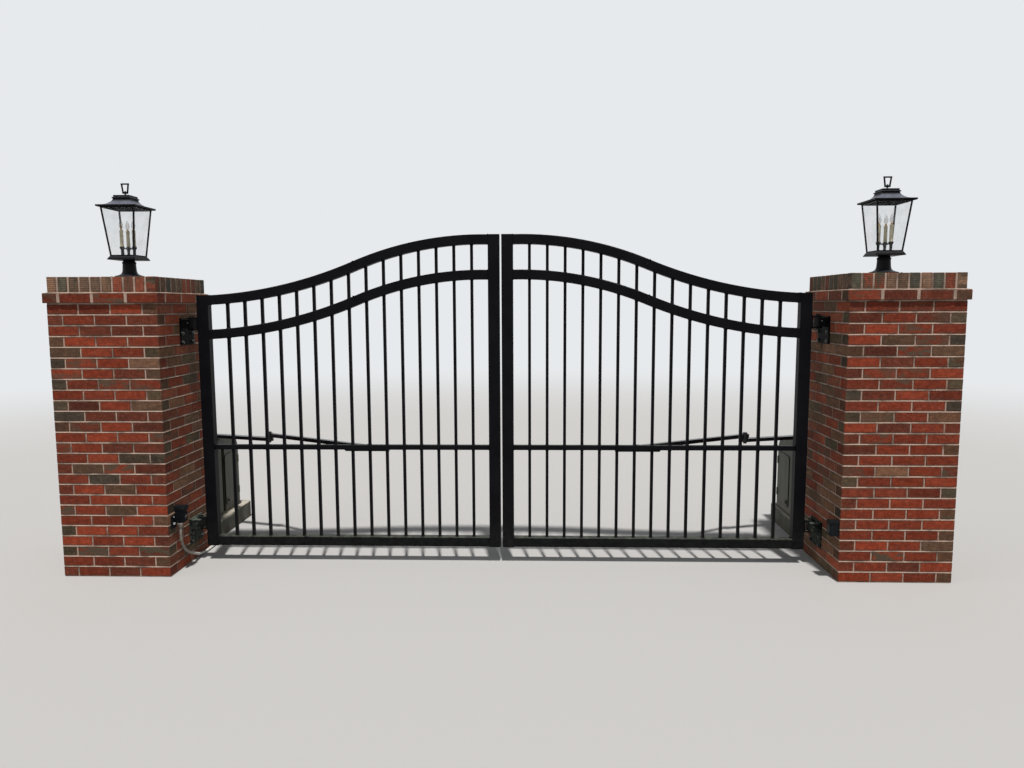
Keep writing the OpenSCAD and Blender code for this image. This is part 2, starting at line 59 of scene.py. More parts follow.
SIDES = ("left", "right")
SIDE_SIGN = {"left": -1, "right": 1}
ROOT = "piers"
UP = (0, 0, 1)
DOWN = (0, 0, -1)
MIRROR = Matrix.Scale(-1, 4, (1, 0, 0))

# Measures of the CAD source
PIER_FRONT = -0.707
PIER_HALF = 0.351
COURSES = 27
HOUSING_TOP = 0.727
SHAFT = (2.310, 0.330)

# The slot of each finish that isn't named as its slot is, None where it has no slot
SLOTS = {
    "mortar": "brick",
    "hinge_iron": "gate_black",
    "soffit_black": "lantern_black",
    "candle_cream": "candle",
    "filament": "candle",
    "bulb_glass": "candle",
    "beam_lens": "sensor_black",
    "prism_face": "sensor_black",
    "bolt": None,
    "zinc": None,
}


# Modelling helpers


def deselect():
    """Leaves nothing selected, because an operator acts on all that is."""
    bpy.ops.object.select_all(action="DESELECT")


def activate(piece):
    """Selects one piece alone and makes it the active one."""
    deselect()
    bpy.context.view_layer.objects.active = piece
    piece.select_set(True)


def settle(piece, name):
    """Names a new piece and moves its place, turn and size into its mesh."""
    activate(piece)
    piece.name = name
    piece.data.name = name
    bpy.ops.object.transform_apply(location=True, rotation=True, scale=True)
    return piece


@contextmanager
def editing(piece):
    """Opens a piece in edit mode with nothing selected, and closes it at the end."""
    activate(piece)
    bpy.ops.object.mode_set(mode="EDIT")
    bpy.ops.mesh.select_mode(type="VERT")
    bpy.ops.mesh.select_all(action="DESELECT")
    yield bmesh.from_edit_mesh(piece.data)
    bpy.ops.object.mode_set(mode="OBJECT")


def pick(piece, mesh, kind, wanted):
    """Selects the faces, edges or verts that wanted() accepts, and nothing else."""
    bpy.ops.mesh.select_mode(type={"faces": "FACE", "edges": "EDGE", "verts": "VERT"}[kind])
    bpy.ops.mesh.select_all(action="DESELECT")
    for element in getattr(mesh, kind):
        if wanted(element):
            element.select_set(True)
    mesh.select_flush_mode()
    bmesh.update_edit_mesh(piece.data)


@contextmanager
def faces_towards(piece, direction):
    """Opens a piece in edit mode with only the faces that look along a direction selected."""
    with editing(piece) as mesh:
        pick(piece, mesh, "faces", lambda face: face.normal.dot(Vector(direction)) > 0.9)
        yield


def shrink_top(piece, share, centre=(0, 0, 0)):
    """Makes a piece narrower at its top."""
    with faces_towards(piece, UP):
        bpy.ops.transform.resize(value=(share, share, 1), center_override=centre)


def recess(piece, direction, *steps):
    """Insets the faces that look along a direction and sinks them, for each (margin, depth)."""
    with faces_towards(piece, direction):
        for margin, depth in steps:
            bpy.ops.mesh.inset(thickness=margin)
            bpy.ops.transform.translate(value=Vector(direction) * -depth)
    return piece


def round_edges(piece, radius, segments=2, wanted=None):
    """Bevels the sharp edges of a piece, or only those that wanted() accepts."""
    with editing(piece) as mesh:
        pick(piece, mesh, "edges", wanted or (lambda e: e.calc_face_angle(0) > math.radians(40)))
        bpy.ops.mesh.bevel(offset=radius, segments=segments, affect="EDGES", clamp_overlap=True)
    return piece


def add_block(name, low, high, edge=0.0):
    """A box between two corners, its edges rounded if a radius is given."""
    low, high = Vector(low), Vector(high)
    deselect()
    bpy.ops.mesh.primitive_cube_add(size=1, location=(low + high) / 2)
    bpy.context.object.scale = high - low
    box = settle(bpy.context.object, name)
    return round_edges(box, edge) if edge else box


def add_slab(name, centre, half, bottom, top, edge=0.0):
    """A box that is square in plan, round a centre."""
    reach = Vector((half, half, 0))
    middle = Vector((centre[0], centre[1], 0))
    low, high = middle - reach, middle + reach
    return add_block(name, (low.x, low.y, bottom), (high.x, high.y, top), edge)


def turned(name, profile, sides=24, place=None):
    """A turned piece: a disc drawn up the Z axis through (radius, height) pairs in mm, then placed."""
    profile = [(radius / 1000, height / 1000) for radius, height in profile]
    deselect()
    radius, height = profile[0]
    bpy.ops.mesh.primitive_circle_add(
        vertices=sides, radius=radius, location=(0, 0, height), fill_type="NGON"
    )
    piece = settle(bpy.context.object, name)
    with editing(piece):
        bpy.ops.mesh.select_all(action="SELECT")
        for (radius, height), (next_radius, next_height) in zip(profile, profile[1:]):
            rise = {"value": (0, 0, next_height - height)}
            bpy.ops.mesh.extrude_region_move(TRANSFORM_OT_translate=rise)
            grow = next_radius / radius
            bpy.ops.transform.resize(value=(grow, grow, 1), center_override=(0, 0, 0))
        bpy.ops.mesh.select_all(action="SELECT")
        bpy.ops.mesh.normals_make_consistent(inside=False)
    if place is not None:
        piece.data.transform(place)
    return piece


def squared(name, profile):
    """A four-sided piece on the Z axis, square to X and Y, through (half width, height) pairs in mm."""
    corners = [(half * math.sqrt(2), height) for half, height in profile]
    return turned(name, corners, 4, Matrix.Rotation(math.pi / 4, 4, "Z"))


def standing(place, direction=UP, spin=0.0):
    """The matrix that stands a piece made on +Z at a place, along a direction."""
    lean = Vector(direction).to_track_quat("Z", "Y").to_matrix().to_4x4()
    return Matrix.Translation(Vector(place)) @ lean @ Matrix.Rotation(math.radians(spin), 4, "Z")


def curve_along(name, path, radius, resolution, closed=False):
    """A round tube along a path, as a curve with capped ends."""
    line = bpy.data.curves.new(name, "CURVE")
    line.dimensions = "3D"
    spline = line.splines.new("POLY")
    spline.points.add(len(path) - 1)
    for point, place in zip(spline.points, path):
        point.co = (*place, 1.0)
    spline.use_cyclic_u = closed
    line.bevel_depth = radius
    line.bevel_resolution = resolution
    line.use_fill_caps = True
    tube = bpy.data.objects.new(name, line)
    bpy.context.scene.collection.objects.link(tube)
    return tube


def tube_along(name, path, radius, closed=False, ripple=0.0):
    """A round tube along a path, turned into a mesh and rippled as a weld is."""
    activate(curve_along(name, path, radius, 1, closed))
    bpy.ops.object.convert(target="MESH")
    tube = bpy.context.object
    if ripple:
        with editing(tube):
            bpy.ops.mesh.select_all(action="SELECT")
            bpy.ops.transform.vertex_random(offset=ripple, seed=3)
    return tube


def smooth(piece, angle=40):
    """Shades a piece smooth up to an angle."""
    activate(piece)
    bpy.ops.object.shade_smooth_by_angle(angle=math.radians(angle))
    return piece


def copy_of(piece, place):
    """A copy with a mesh of its own, set at a place given as a matrix."""
    twin = piece.copy()
    twin.data = piece.data.copy()
    twin.data.transform(place)
    bpy.context.scene.collection.objects.link(twin)
    if place.determinant() < 0:
        twin.data.flip_normals()
    return twin


def join(name, pieces):
    """Joins pieces into one and names it."""
    deselect()
    for piece in pieces:
        piece.select_set(True)
    bpy.context.view_layer.objects.active = pieces[0]
    if len(pieces) > 1:
        bpy.ops.object.join()
    joined = bpy.context.object
    joined.name = name
    joined.data.name = name
    return joined


def discard(*pieces):
    """Removes master pieces once they are copied."""
    for piece in pieces:
        bpy.data.objects.remove(piece)


def spread(master, spots):
    """Copies of a master at each (place, direction) pair, the master then removed."""
    copies = []
    for number, (place, direction) in enumerate(spots):
        copies.append(copy_of(master, standing(place, direction, 17 * number)))
    discard(master)
    return copies


def dress(piece, coat, body=ROOT, slot=None, stands_for=()):
    """Gives a new piece its finish and its body, and hides the nodes it stands for; the slot is worked
    out but not used.
    """
    piece.data.materials.clear()
    piece.data.materials.append(finish(coat))
    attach(piece, body)
    slot = slot or SLOTS.get(coat, coat)
    if stands_for:
        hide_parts(*stands_for)
    return piece


def both_sides(name, pieces, coat, part=None, node=None, left_shift=0.0, angle=35):
    """Joins right-hand pieces, mirrors them to the left and dresses both, on a moving part if named."""
    right = smooth(join("right_" + name, pieces), angle)
    left = copy_of(right, Matrix.Translation((-left_shift, 0, 0)) @ MIRROR)
    for side, piece in (("right", right), ("left", left)):
        piece.name = piece.data.name = f"{side}_{name}"
        hidden = (f"{side}_{node}",) if node else ()
        dress(piece, coat, f"{side}_{part}" if part else ROOT, None, hidden)


# Shader helpers


class Wire:
    """One output socket of a finish, so that shader maths reads as an expression."""

    def __init__(self, finish, socket):
        self.finish = finish
        self.socket = socket

    def maths(self, operation, first, second=0.0):
        return self.finish.node("ShaderNodeMath", {"operation": operation}, {0: first, 1: second})

    def __add__(self, other):
        return self.maths("ADD", self, other)

    def __rsub__(self, other):
        return self.maths("SUBTRACT", other, self)

    def __mul__(self, other):
        return self.maths("MULTIPLY", self, other)

    def larger(self, other):
        return self.maths("MAXIMUM", self, other)

    def size(self):
        return self.maths("ABSOLUTE", self)

    def sine(self):
        return self.maths("SINE", self)

    def ramp(self, low, high):
        """0 below low and 1 above high, smooth between."""
        smoothly = {"interpolation_type": "SMOOTHSTEP"}
        return self.finish.node(
            "ShaderNodeMapRange", smoothly, {0: self, 1: low, 2: high, 3: 0.0, 4: 1.0}
        )


class Finish:
    """A material in the making, with one method that adds any node."""

    def __init__(self, name):
        self.material = bpy.data.materials.new(name)
        self.material.use_nodes = True
        self.tree = self.material.node_tree
        self.shader = self.tree.nodes["Principled BSDF"]

    def set(self, **values):
        """Sets sockets of the shader by name, with underscores for spaces."""
        for name, value in values.items():
            self.feed(self.shader.inputs[name.replace("_", " ")], value)

    def feed(self, socket, value):
        if isinstance(value, Wire):
            self.tree.links.new(value.socket, socket)
        elif isinstance(value, (tuple, list)) and socket.type == "RGBA" and len(value) == 3:
            socket.default_value = (*value, 1.0)
        else:
            socket.default_value = value

    def node(self, kind, settings=None, inputs=None, output=0):
        """Adds a node: its settings first, then the values or links of its sockets."""
        made = self.tree.nodes.new(kind)
        for name, value in (settings or {}).items():
            setattr(made, name, value)
        for key, value in (inputs or {}).items():
            self.feed(made.inputs[key], value)
        return Wire(self, made.outputs[output])

    def attribute(self, name, output="Color"):
        return self.node("ShaderNodeAttribute", {"attribute_name": name}, output=output)

    def place(self):
        """Object coordinates, which are the object's own metres."""
        return self.node("ShaderNodeTexCoord", output="Object")

    def axis(self, vector, index):
        return self.node("ShaderNodeSeparateXYZ", inputs={0: vector}, output=index)

    def above(self, low, high):
        """0 below one height and 1 above the other."""
        return self.axis(self.place(), 2).ramp(low, high)

    def facing_up(self, low, high):
        """0 on walls and undersides, 1 on faces that look to the sky."""
        normal = self.node("ShaderNodeNewGeometry", output="Normal")
        return self.axis(normal, 2).ramp(low, high)

    def vectors(self, operation, first, second):
        return self.node("ShaderNodeVectorMath", {"operation": operation}, {0: first, 1: second})

    def stretch(self, vector, scale):
        return self.vectors("MULTIPLY", vector, scale)

    def shift(self, vector, offset):
        return self.vectors("ADD", vector, offset)

    def noise(self, scale, detail=3.0, vector=None):
        inputs = {"Vector": vector or self.place(), "Scale": scale, "Detail": detail, "Roughness": 0.55}
        return self.node("ShaderNodeTexNoise", None, inputs)

    def blend(self, share, first, second, mode="MIX"):
        """Mixes two colours by a share from 0 to 1."""
        settings = {"data_type": "RGBA", "blend_type": mode}
        return self.node("ShaderNodeMix", settings, {0: share, 6: first, 7: second}, output=2)

    def tint(self, colour, factors):
        """A colour multiplied channel by channel."""
        return self.blend(1.0, colour, factors, "MULTIPLY")

    def bump(self, height, distance, strength):
        inputs = {"Height": height, "Distance": distance, "Strength": strength}
        return self.node("ShaderNodeBump", None, inputs)

    def drift(self, cloud, share, first, second, rough, more_rough):
        """Two screen colours that run into each other over a cloud, and a roughness that follows it."""
        self.set(
            Base_Color=self.blend(share, linear(*first), linear(*second)),
            Roughness=cloud * more_rough + rough,
        )


def linear(red, green, blue):
    """A colour read from a screen, 0 to 255, as linear light."""

    def channel(value):
        value /= 255
        return value / 12.92 if value <= 0.04045 else ((value + 0.055) / 1.055) ** 2.4

    return (channel(red), channel(green), channel(blue))


# Settings that a user would change


class BrickworkSettings(bpy.types.PropertyGroup):
    """Sizes and colours of the piers' brickwork."""

    length: FloatProperty(
        name="Brick length", description="Length of a brick", default=0.1955, unit="LENGTH"
    )
    depth: FloatProperty(
        name="Brick depth", description="Depth of a brick, front to back", default=0.092, unit="LENGTH"
    )
    height: FloatProperty(
        name="Brick height", description="Height of a brick", default=0.0592, unit="LENGTH"
    )
    joint_depth: FloatProperty(
        name="Joint depth",
        description="How far the mortar lies behind the bricks' faces",
        default=0.002,
        unit="LENGTH",
    )
    mortar: FloatVectorProperty(
        name="Mortar", description="Colour of the mortar", subtype="COLOR", default=linear(160, 138, 124)
    )


class MetalSettings(bpy.types.PropertyGroup):
    """Colours of the painted metal."""

    black: FloatVectorProperty(
        name="Gate black",
        description="Powder coat of the gate",
        subtype="COLOR",
        default=linear(10, 10, 13),
    )
    # A darker grey than the housings' light enamel, partly painted shade of the piers they stand beside
    grey: FloatVectorProperty(
        name="Operator grey",
        description="Enamel of the operator housings",
        subtype="COLOR",
        default=linear(64, 67, 57),
    )


class StageSettings(bpy.types.PropertyGroup):
    """Camera, floor and lamps."""

    lens: FloatProperty(
        name="Lens",
        description="Focal length on a sensor 36 wide",
        default=26.2,
        subtype="DISTANCE_CAMERA",
    )
    camera_height: FloatProperty(
        name="Camera height", description="Height of the camera", default=1.737, unit="LENGTH"
    )
    camera_distance: FloatProperty(
        name="Camera distance",
        description="Distance from the piers' front faces to the camera",
        default=4.598,
        unit="LENGTH",
    )
    camera_side: FloatProperty(
        name="Camera side",
        description="Distance right of the gate's middle",
        default=0.232,
        unit="LENGTH",
    )


SETTINGS = {
    "gate_brickwork": BrickworkSettings,
    "gate_metal": MetalSettings,
    "gate_stage": StageSettings,
}


# Finishes

MAKERS = {}
FINISHES = {}


def maker(make):
    """Keeps a function as the maker of the finish that bears its name."""
    MAKERS[make.__name__] = make
    return make


def finish(name):
    """The material of that name, made the first time it is asked for."""
    if name not in FINISHES:
        f = Finish(name)
        MAKERS[name](f)
        FINISHES[name] = f.material
    return FINISHES[name]


@maker
def brick(f):
    """Wire-cut clay: each brick's own colour, mottled, gritty, flashed and combed on its ends."""
    rib_pitch = 0.0125
    # What an end lacks to a long face, half of it, so that both share one border
    end_short = 0.048
    clay, comb = f.attribute("clay"), f.attribute("clay", "Alpha")
    # How strongly a brick was flashed and two random numbers, and 1 on its ends
    fired, is_end = f.attribute("fired"), f.attribute("fired", "Alpha")
    spot = f.shift(f.place(), f.stretch(fired, (0.0, 7.0, 11.0)))
    grain = f.node("ShaderNodeUVMap", {"uv_map": "grain"})
    along, across = f.axis(grain, 0), f.axis(grain, 1)
    from_bed, from_end = across.size(), along.size() + is_end * end_short
    mottle = f.noise(34, 4, spot)
    colour = f.tint(clay, (1.12, 1.12, 1.10))
    colour = f.blend(mottle.ramp(0.3, 0.75), f.tint(colour, (0.66, 0.64, 0.64)), colour)
    grit = f.noise(150, 3, spot).ramp(0.47, 0.60)
    colour = f.blend(grit * 0.42, colour, f.tint(colour, (0.45, 0.44, 0.43)))
    # Streaks of the wire along the brick, from another part of the noise for each brick
    pull = f.shift(f.stretch(grain, (16.0, 150.0, 1.0)), f.stretch(fired, (0.0, 90.0, 70.0)))
    streak = f.noise(1.0, 3, pull).ramp(0.44, 0.62)
    colour = f.blend(streak * 0.45, colour, f.tint(colour, (1.70, 1.50, 1.38)))
    # A browner border round the redder middle of each face
    border = from_bed.ramp(0.013, 0.026).larger(from_end.ramp(0.080, 0.094))
    border = border * f.noise(26, 3, spot).ramp(0.36, 0.60)
    colour = f.blend(border * 0.55, colour, f.blend(0.5, colour, linear(84, 66, 54)))
    # Flashed patches, drawn out along the brick
    smoke = f.shift(f.stretch(grain, (10.0, 26.0, 1.0)), f.stretch(fired, (0.0, 40.0, 60.0)))
    patch = f.noise(1.0, 3, smoke).ramp(0.44, 0.60) * f.axis(fired, 0)
    colour = f.blend(patch, colour, linear(70, 62, 50))
    speck = f.noise(900, 2, spot).ramp(0.60, 0.75)
    colour = f.blend(speck * 0.35, colour, linear(40, 29, 25))
    # Darker arrises, partly the clay's own and partly painted shade of the recessed joints, and a haze
    # of mortar here and there
    arris_shade = from_bed.ramp(0.0225, 0.0282).larger(from_end.ramp(0.0905, 0.0960))
    colour = f.blend(arris_shade * 0.50, colour, f.tint(colour, (0.30, 0.36, 0.34)))
    haze = f.noise(60, 3, spot).ramp(0.52, 0.74)
    colour = f.blend(haze * 0.10, colour, linear(150, 128, 114))
    ribs = (along * (2 * math.pi / rib_pitch)).sine().ramp(-0.1, 0.9) * comb
    height = ribs * 0.9 + f.noise(420, 3, spot) * 0.5 + mottle * 0.5
    f.set(
        Base_Color=f.blend(ribs * 0.34, colour, (0.02, 0.017, 0.014)),
        Roughness=mottle * 0.12 + 0.80,
        Normal=f.bump(height, 0.0012, 0.75),
        Specular_IOR_Level=0.12,
    )


@maker
def mortar(f):
    """Sanded mortar, stained in places."""
    pale = tuple(bpy.context.scene.gate_brickwork.mortar)
    stain, sand = f.noise(9, 4).ramp(0.40, 0.68), f.noise(700, 2)
    colour = f.blend(stain, pale, tuple(0.36 * c for c in pale))
    colour = f.blend(sand.ramp(0.45, 0.7) * 0.4, colour, tuple(0.5 * c for c in pale))
    f.set(Base_Color=colour, Normal=f.bump(sand + f.noise(160, 2) * 0.8, 0.0016, 0.8))
    f.set(Roughness=0.95, Specular_IOR_Level=0.2)


def coat(f, colour, rough=0.42, gloss=0.05, dust=0.5, splashed=0.05, grime=(90, 94, 82)):
    """Powder coat on metal: a fine orange peel, and dust where it faces up and near the ground."""
    cloud = f.noise(7, 4)
    low = 1.0 - f.above(0.08, 0.9)
    film = f.noise(38, 4).ramp(0.25, 0.7)
    settled = f.facing_up(0.30, 0.95) * film * (low * 0.8 + 0.12) * dust
    splash = (1.0 - f.above(0.10, 0.46)) * film * splashed
    worn = f.blend(cloud.ramp(0.35, 0.7), colour, tuple(1.3 * c + 0.0008 for c in colour))
    f.set(
        Base_Color=f.blend(settled + splash, worn, linear(*grime)),
        Roughness=cloud * 0.14 + (rough - 0.07) + settled * 0.4,
        Normal=f.bump(f.noise(520, 1), 0.00025, 0.5),
        Specular_IOR_Level=gloss,
    )


@maker
def gate_black(f):
    """The leaves' powder coat."""
    coat(f, tuple(bpy.context.scene.gate_metal.black))


@maker
def hinge_iron(f):
    """The hinge plates' coat, greened by dust and splashes."""
    coat(f, linear(7, 7, 8), 0.5, 0.02, 1.4, 0.60, (80, 88, 80))


@maker
def arm_black(f):
    """The glossier paint of the operators' arms."""
    coat(f, linear(8, 8, 11), 0.24, 0.35, 0.15, 0.0)


@maker
def lantern_black(f):
    """Satin black, with a painted bluish-grey sky sheen where the roofs face up."""
    cloud = f.noise(7, 4)
    on_roof = f.above(2.28, 2.36) * 0.85 + 0.15
    # The chalk mask paints the sky's sheen, bluish grey, on the roofs' upward faces
    chalk = f.facing_up(0.30, 0.80) * (f.noise(38, 4).ramp(0.25, 0.7) * 0.35 + 0.65) * on_roof
    worn = f.blend(cloud.ramp(0.35, 0.7), linear(9, 9, 12), linear(14, 14, 17))
    f.set(
        Base_Color=f.blend(chalk, worn, linear(86, 89, 99)),
        Roughness=cloud * 0.14 + 0.36,
        Normal=f.bump(f.noise(520, 1), 0.00025, 0.5),
        Specular_IOR_Level=0.10,
    )


@maker
def soffit_black(f):
    """Painted shade: matt black under the lantern roofs, where their undersides lie in shade."""
    painted_shade = f.blend(f.noise(40, 3), linear(3, 3, 4), linear(8, 7, 7))
    f.set(Base_Color=painted_shade, Roughness=1.0, Specular_IOR_Level=0.0)


@maker
def bolt(f):
    """Bolt heads blackened with the gate and rubbed bright in places."""
    cloud = f.noise(60, 3)
    f.drift(cloud, cloud.ramp(0.4, 0.65), (70, 70, 70), (34, 32, 30), 0.35, 0.3)
    f.set(Metallic=0.8, Normal=f.bump(cloud, 0.0003, 0.4))


@maker
def zinc(f):
    """Bright zinc plate with a faint bloom."""
    bloom = f.noise(90, 3)
    f.drift(bloom, bloom.ramp(0.4, 0.7), (214, 216, 218), (168, 172, 176), 0.22, 0.2)
    f.set(Metallic=1.0)


@maker
def housing_grey(f):
    """Weathered enamel with streaks that run down it."""
    grey = tuple(bpy.context.scene.gate_metal.grey)
    streak = f.noise(16, 4, f.stretch(f.place(), (1.0, 1.0, 0.08)))
    cloud = f.noise(6, 4)
    colour = f.blend(streak.ramp(0.42, 0.68), grey, tuple(0.66 * c for c in grey))
    low = 1.0 - f.above(0.13, 0.30)
    f.set(
        Base_Color=f.blend(low * cloud.ramp(0.3, 0.7) * 0.6, colour, linear(92, 80, 64)),
        Roughness=streak * 0.2 + 0.42,
        Normal=f.bump(f.noise(380, 2), 0.0003, 0.5),
        Specular_IOR_Level=0.2,
    )


@maker
def concrete(f):
    """Trowelled concrete with pores and water stains."""
    cloud, pores = f.noise(7, 5), f.noise(190, 3)
    colour = f.blend(cloud.ramp(0.35, 0.7), linear(158, 152, 140), linear(118, 113, 103))
    colour = f.blend(pores.ramp(0.62, 0.74) * 0.6, colour, linear(72, 68, 60))
    # The walls darker and greener than the top: painted shade
    side = 1.0 - f.facing_up(0.10, 0.60)
    colour = f.blend(side * (cloud * 0.3 + 0.7), colour, linear(60, 63, 56))
    low = 1.0 - f.above(0.0, 0.09)
    f.set(
        Base_Color=f.blend(low * cloud.ramp(0.35, 0.6) * 0.5, colour, linear(78, 66, 50)),
        Roughness=cloud * 0.1 + 0.85,
        Normal=f.bump(pores * 0.7 + cloud * 1.5, 0.0022, 0.8),
        Specular_IOR_Level=0.25,
    )


@maker
def lantern_glass(f):
    """Thin clear panes with a little dust."""
    smear = f.noise(14, 3)
    f.set(Base_Color=(0.30, 0.33, 0.34), IOR=1.45, Specular_IOR_Level=0.5)
    f.set(Roughness=smear * 0.06 + 0.02, Alpha=smear.ramp(0.35, 0.8) * 0.06 + 0.04)


@maker
def bulb_glass(f):
    """Clear lamp glass."""
    rim = f.node("ShaderNodeLayerWeight", None, {"Blend": 0.3}, output="Facing")
    f.set(Base_Color=(0.16, 0.17, 0.17), IOR=1.45, Roughness=0.03, Alpha=rim * 0.75 + 0.10)


@maker
def candle_cream(f):
    """Cream candle sleeve with drips."""
    drip = f.noise(90, 3, f.stretch(f.place(), (1.0, 1.0, 0.25)))
    f.drift(drip, drip.ramp(0.4, 0.7), (206, 198, 168), (172, 160, 128), 0.4, 0.1)
    f.set(Normal=f.bump(drip, 0.0008, 0.6), Specular_IOR_Level=0.4)


@maker
def sensor_black(f):
    """Moulded blue-black plastic, chalked a little by the sun."""
    chalk = f.noise(40, 4)
    f.drift(chalk, chalk.ramp(0.4, 0.7), (9, 12, 14), (17, 21, 25), 0.45, 0.2)
    f.set(Normal=f.bump(f.noise(900, 2), 0.0002, 0.5), Specular_IOR_Level=0.12)


@maker
def beam_lens(f):
    """Dark red-brown lens of the safety beam."""
    depth = f.noise(60, 2)
    f.drift(depth, depth, (34, 12, 12), (58, 18, 16), 0.08, 0.05)
    f.set(Coat_Weight=1.0, Coat_Roughness=0.05, Specular_IOR_Level=0.6)


@maker
def prism_face(f):
    """Smoked corner-cube face of the reflector."""
    cell = f.node("ShaderNodeTexVoronoi", None, {"Vector": f.place(), "Scale": 220.0})
    f.set(
        Base_Color=f.blend(cell.ramp(0.1, 0.5), linear(36, 42, 46), linear(16, 19, 22)),
        Roughness=0.18,
        Normal=f.bump(cell, 0.0012, 0.9),
        Specular_IOR_Level=0.5,
    )


@maker
def conduit_grey(f):
    """Grey flexible conduit, with patches of painted sunlit sheen on its run near the ground."""
    cloud = f.noise(50, 4)
    colour = f.blend(cloud.ramp(0.35, 0.7), linear(126, 119, 112), linear(102, 96, 90))
    # The dust mask is painted sunlit sheen: paler patches on the run near the ground
    dust = (1.0 - f.above(0.0, 0.12)) * cloud.ramp(0.2, 0.5) * 0.9
    f.set(
        Base_Color=f.blend(dust, colour, linear(208, 205, 198)),
        Roughness=cloud * 0.2 + 0.45,
        Normal=f.bump(cloud, 0.0004, 0.4),
        Specular_IOR_Level=0.4,
    )


@maker
def filament(f):
    """Brass and tungsten inside the lamps."""
    brass = f.blend(f.noise(300, 1), linear(205, 160, 92), linear(150, 112, 60))
    f.set(Base_Color=brass, Metallic=1.0, Roughness=0.3)


# The finish of each kind of CAD node that isn't of the leaves' black
NODE_FINISH = {
    "pier": "brick",
    "pier_cap": "brick",
    "lantern_base": "lantern_black",
    "lantern_frame": "lantern_black",
    "lantern_roof": "lantern_black",
    "lantern_glass": "lantern_glass",
    "lantern_candles": "candle_cream",
    "hinge_plates": "hinge_iron",
    "operator_pad": "concrete",
    "operator_housing": "housing_grey",
    "photo_eye": "sensor_black",
    "reflector": "sensor_black",
    "conduit": "conduit_grey",
    "operator_crank": "arm_black",
    "operator_link": "arm_black",
}


class GATE_OT_coat_nodes(bpy.types.Operator):
    """Gives every CAD node its finish"""

    bl_idname = "gate.coat_nodes"
    bl_label = "Coat the solids"

    def execute(self, context):
        for name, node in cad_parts.items():
            kind = name.removeprefix("left_").removeprefix("right_")
            node.data.materials.clear()
            node.data.materials.append(finish(NODE_FINISH.get(kind, "gate_black")))
        return {"FINISHED"}


# Conduit from the photo eye to the operator's pad

# The route in the CAD source: places across, behind the piers' front faces, and up
CONDUIT_POINTS = [
    (-2.100, 0.100, 0.3178), (-2.100, 0.100, 0.304), (-2.100, 0.099, 0.270), (-2.100, 0.099, 0.232),
    (-2.100, 0.107, 0.194), (-2.100, 0.128, 0.155), (-2.100, 0.168, 0.119), (-2.100, 0.220, 0.090),
    (-2.101, 0.268, 0.069), (-2.104, 0.314, 0.050), (-2.108, 0.360, 0.034), (-2.112, 0.400, 0.023),
    (-2.115, 0.440, 0.015), (-2.116, 0.500, 0.0105), (-2.116, 0.590, 0.010), (-2.117, 0.650, 0.010),
    (-2.118, 0.692, 0.010), (-2.120, 0.708, 0.010), (-2.125, 0.724, 0.011), (-2.133, 0.738, 0.013),
    (-2.144, 0.750, 0.015), (-2.156, 0.762, 0.018), (-2.164, 0.776, 0.020), (-2.169, 0.792, 0.022),
    (-2.171, 0.808, 0.023), (-2.171, 0.8196, 0.023),
]
CONDUIT_ROUTE = [Vector((x, y + PIER_FRONT, z)) for x, y, z in CONDUIT_POINTS]
CONDUIT_DIAMETER = 0.018


class GATE_OT_conduit(bpy.types.Operator):
    """Lays the flexible conduit along its route"""

    bl_idname = "gate.conduit"
    bl_label = "Conduit"

    def execute(self, context):
        tube = curve_along("conduit_tube", CONDUIT_ROUTE, CONDUIT_DIAMETER / 2, 4)
        dress(tube, "conduit_grey", stands_for=("conduit",))
        return {"FINISHED"}


# Brickwork

# Colours of the clay, each with its share of the bricks: outer faces, the faces in the opening,
# ends and the cap's bricks. The opening's clays carry painted light
CLAYS = [
    (0.50, 115, 49, 31),
    (0.27, 103, 45, 30),
    (0.11, 85, 42, 30),
    (0.05, 82, 62, 48),
    (0.04, 102, 74, 57),
    (0.03, 62, 54, 45),
]
# Lighter and browner than the outer faces' clays, to suit the light that falls in the opening: painted
# light
INNER_CLAYS = [
    (0.30, 129, 65, 45),
    (0.26, 115, 68, 51),
    (0.22, 103, 78, 59),
    (0.13, 123, 90, 69),
    (0.09, 88, 77, 60),
]
END_CLAYS = [
    (0.30, 92, 45, 32),
    (0.25, 79, 57, 43),
    (0.20, 70, 61, 47),
    (0.14, 109, 50, 34),
    (0.11, 52, 46, 39),
]
CAP_CLAYS = [
    (0.24, 122, 66, 50),
    (0.21, 116, 91, 74),
    (0.21, 102, 83, 69),
    (0.22, 79, 78, 68),
    (0.12, 98, 63, 51),
]
# How strongly the wire combed a brick's long faces and its ends
COMBED = (0.0, 0.2)
INNER_COMBED = (0.4, 0.4)
CAP_COMBED = (0.0, 1.0)
# The redder clays of the corbel course, the first of each list
CORBEL_CLAYS = 3
# Length runs inwards, depth stands up and height runs along the pier's side
ON_EDGE = Matrix(((0, 0, 1), (1, 0, 0), (0, 1, 0))).to_4x4()


def brick_master(length, depth, height, seed):
    """One brick with worn arrises, its faces mapped in metres for the wire-cut combing."""
    corner = Vector((length, depth, height)) / 2
    master = round_edges(add_block("brick_master", -corner, corner), 0.0022, 1)
    with editing(master):
        bpy.ops.mesh.select_all(action="SELECT")
        bpy.ops.transform.vertex_random(offset=0.0009, seed=seed)
    mesh = master.data
    grain = mesh.uv_layers[0] if mesh.uv_layers else mesh.uv_layers.new()
    grain.name = "grain"
    for face in mesh.polygons:
        normal = [abs(v) for v in face.normal]
        wide, tall = ((1, 2), (0, 2), (0, 1))[normal.index(max(normal))]
        for loop in face.loop_indices:
            place = mesh.vertices[mesh.loops[loop].vertex_index].co
            grain.data[loop].uv = (place[wide], place[tall])
    return master


def choose_clay(dice, clays):
    """A clay colour by its share, a little lighter or darker from brick to brick."""
    pick_at = dice.random() * sum(share for share, *_ in clays)
    for share, *colour in clays:
        pick_at -= share
        if pick_at <= 0:
            break
    lift = dice.uniform(0.74, 1.28)
    warm = dice.uniform(0.94, 1.06)
    red, green, blue = linear(*colour)
    return (red * lift * warm, green * lift, blue * lift / warm)


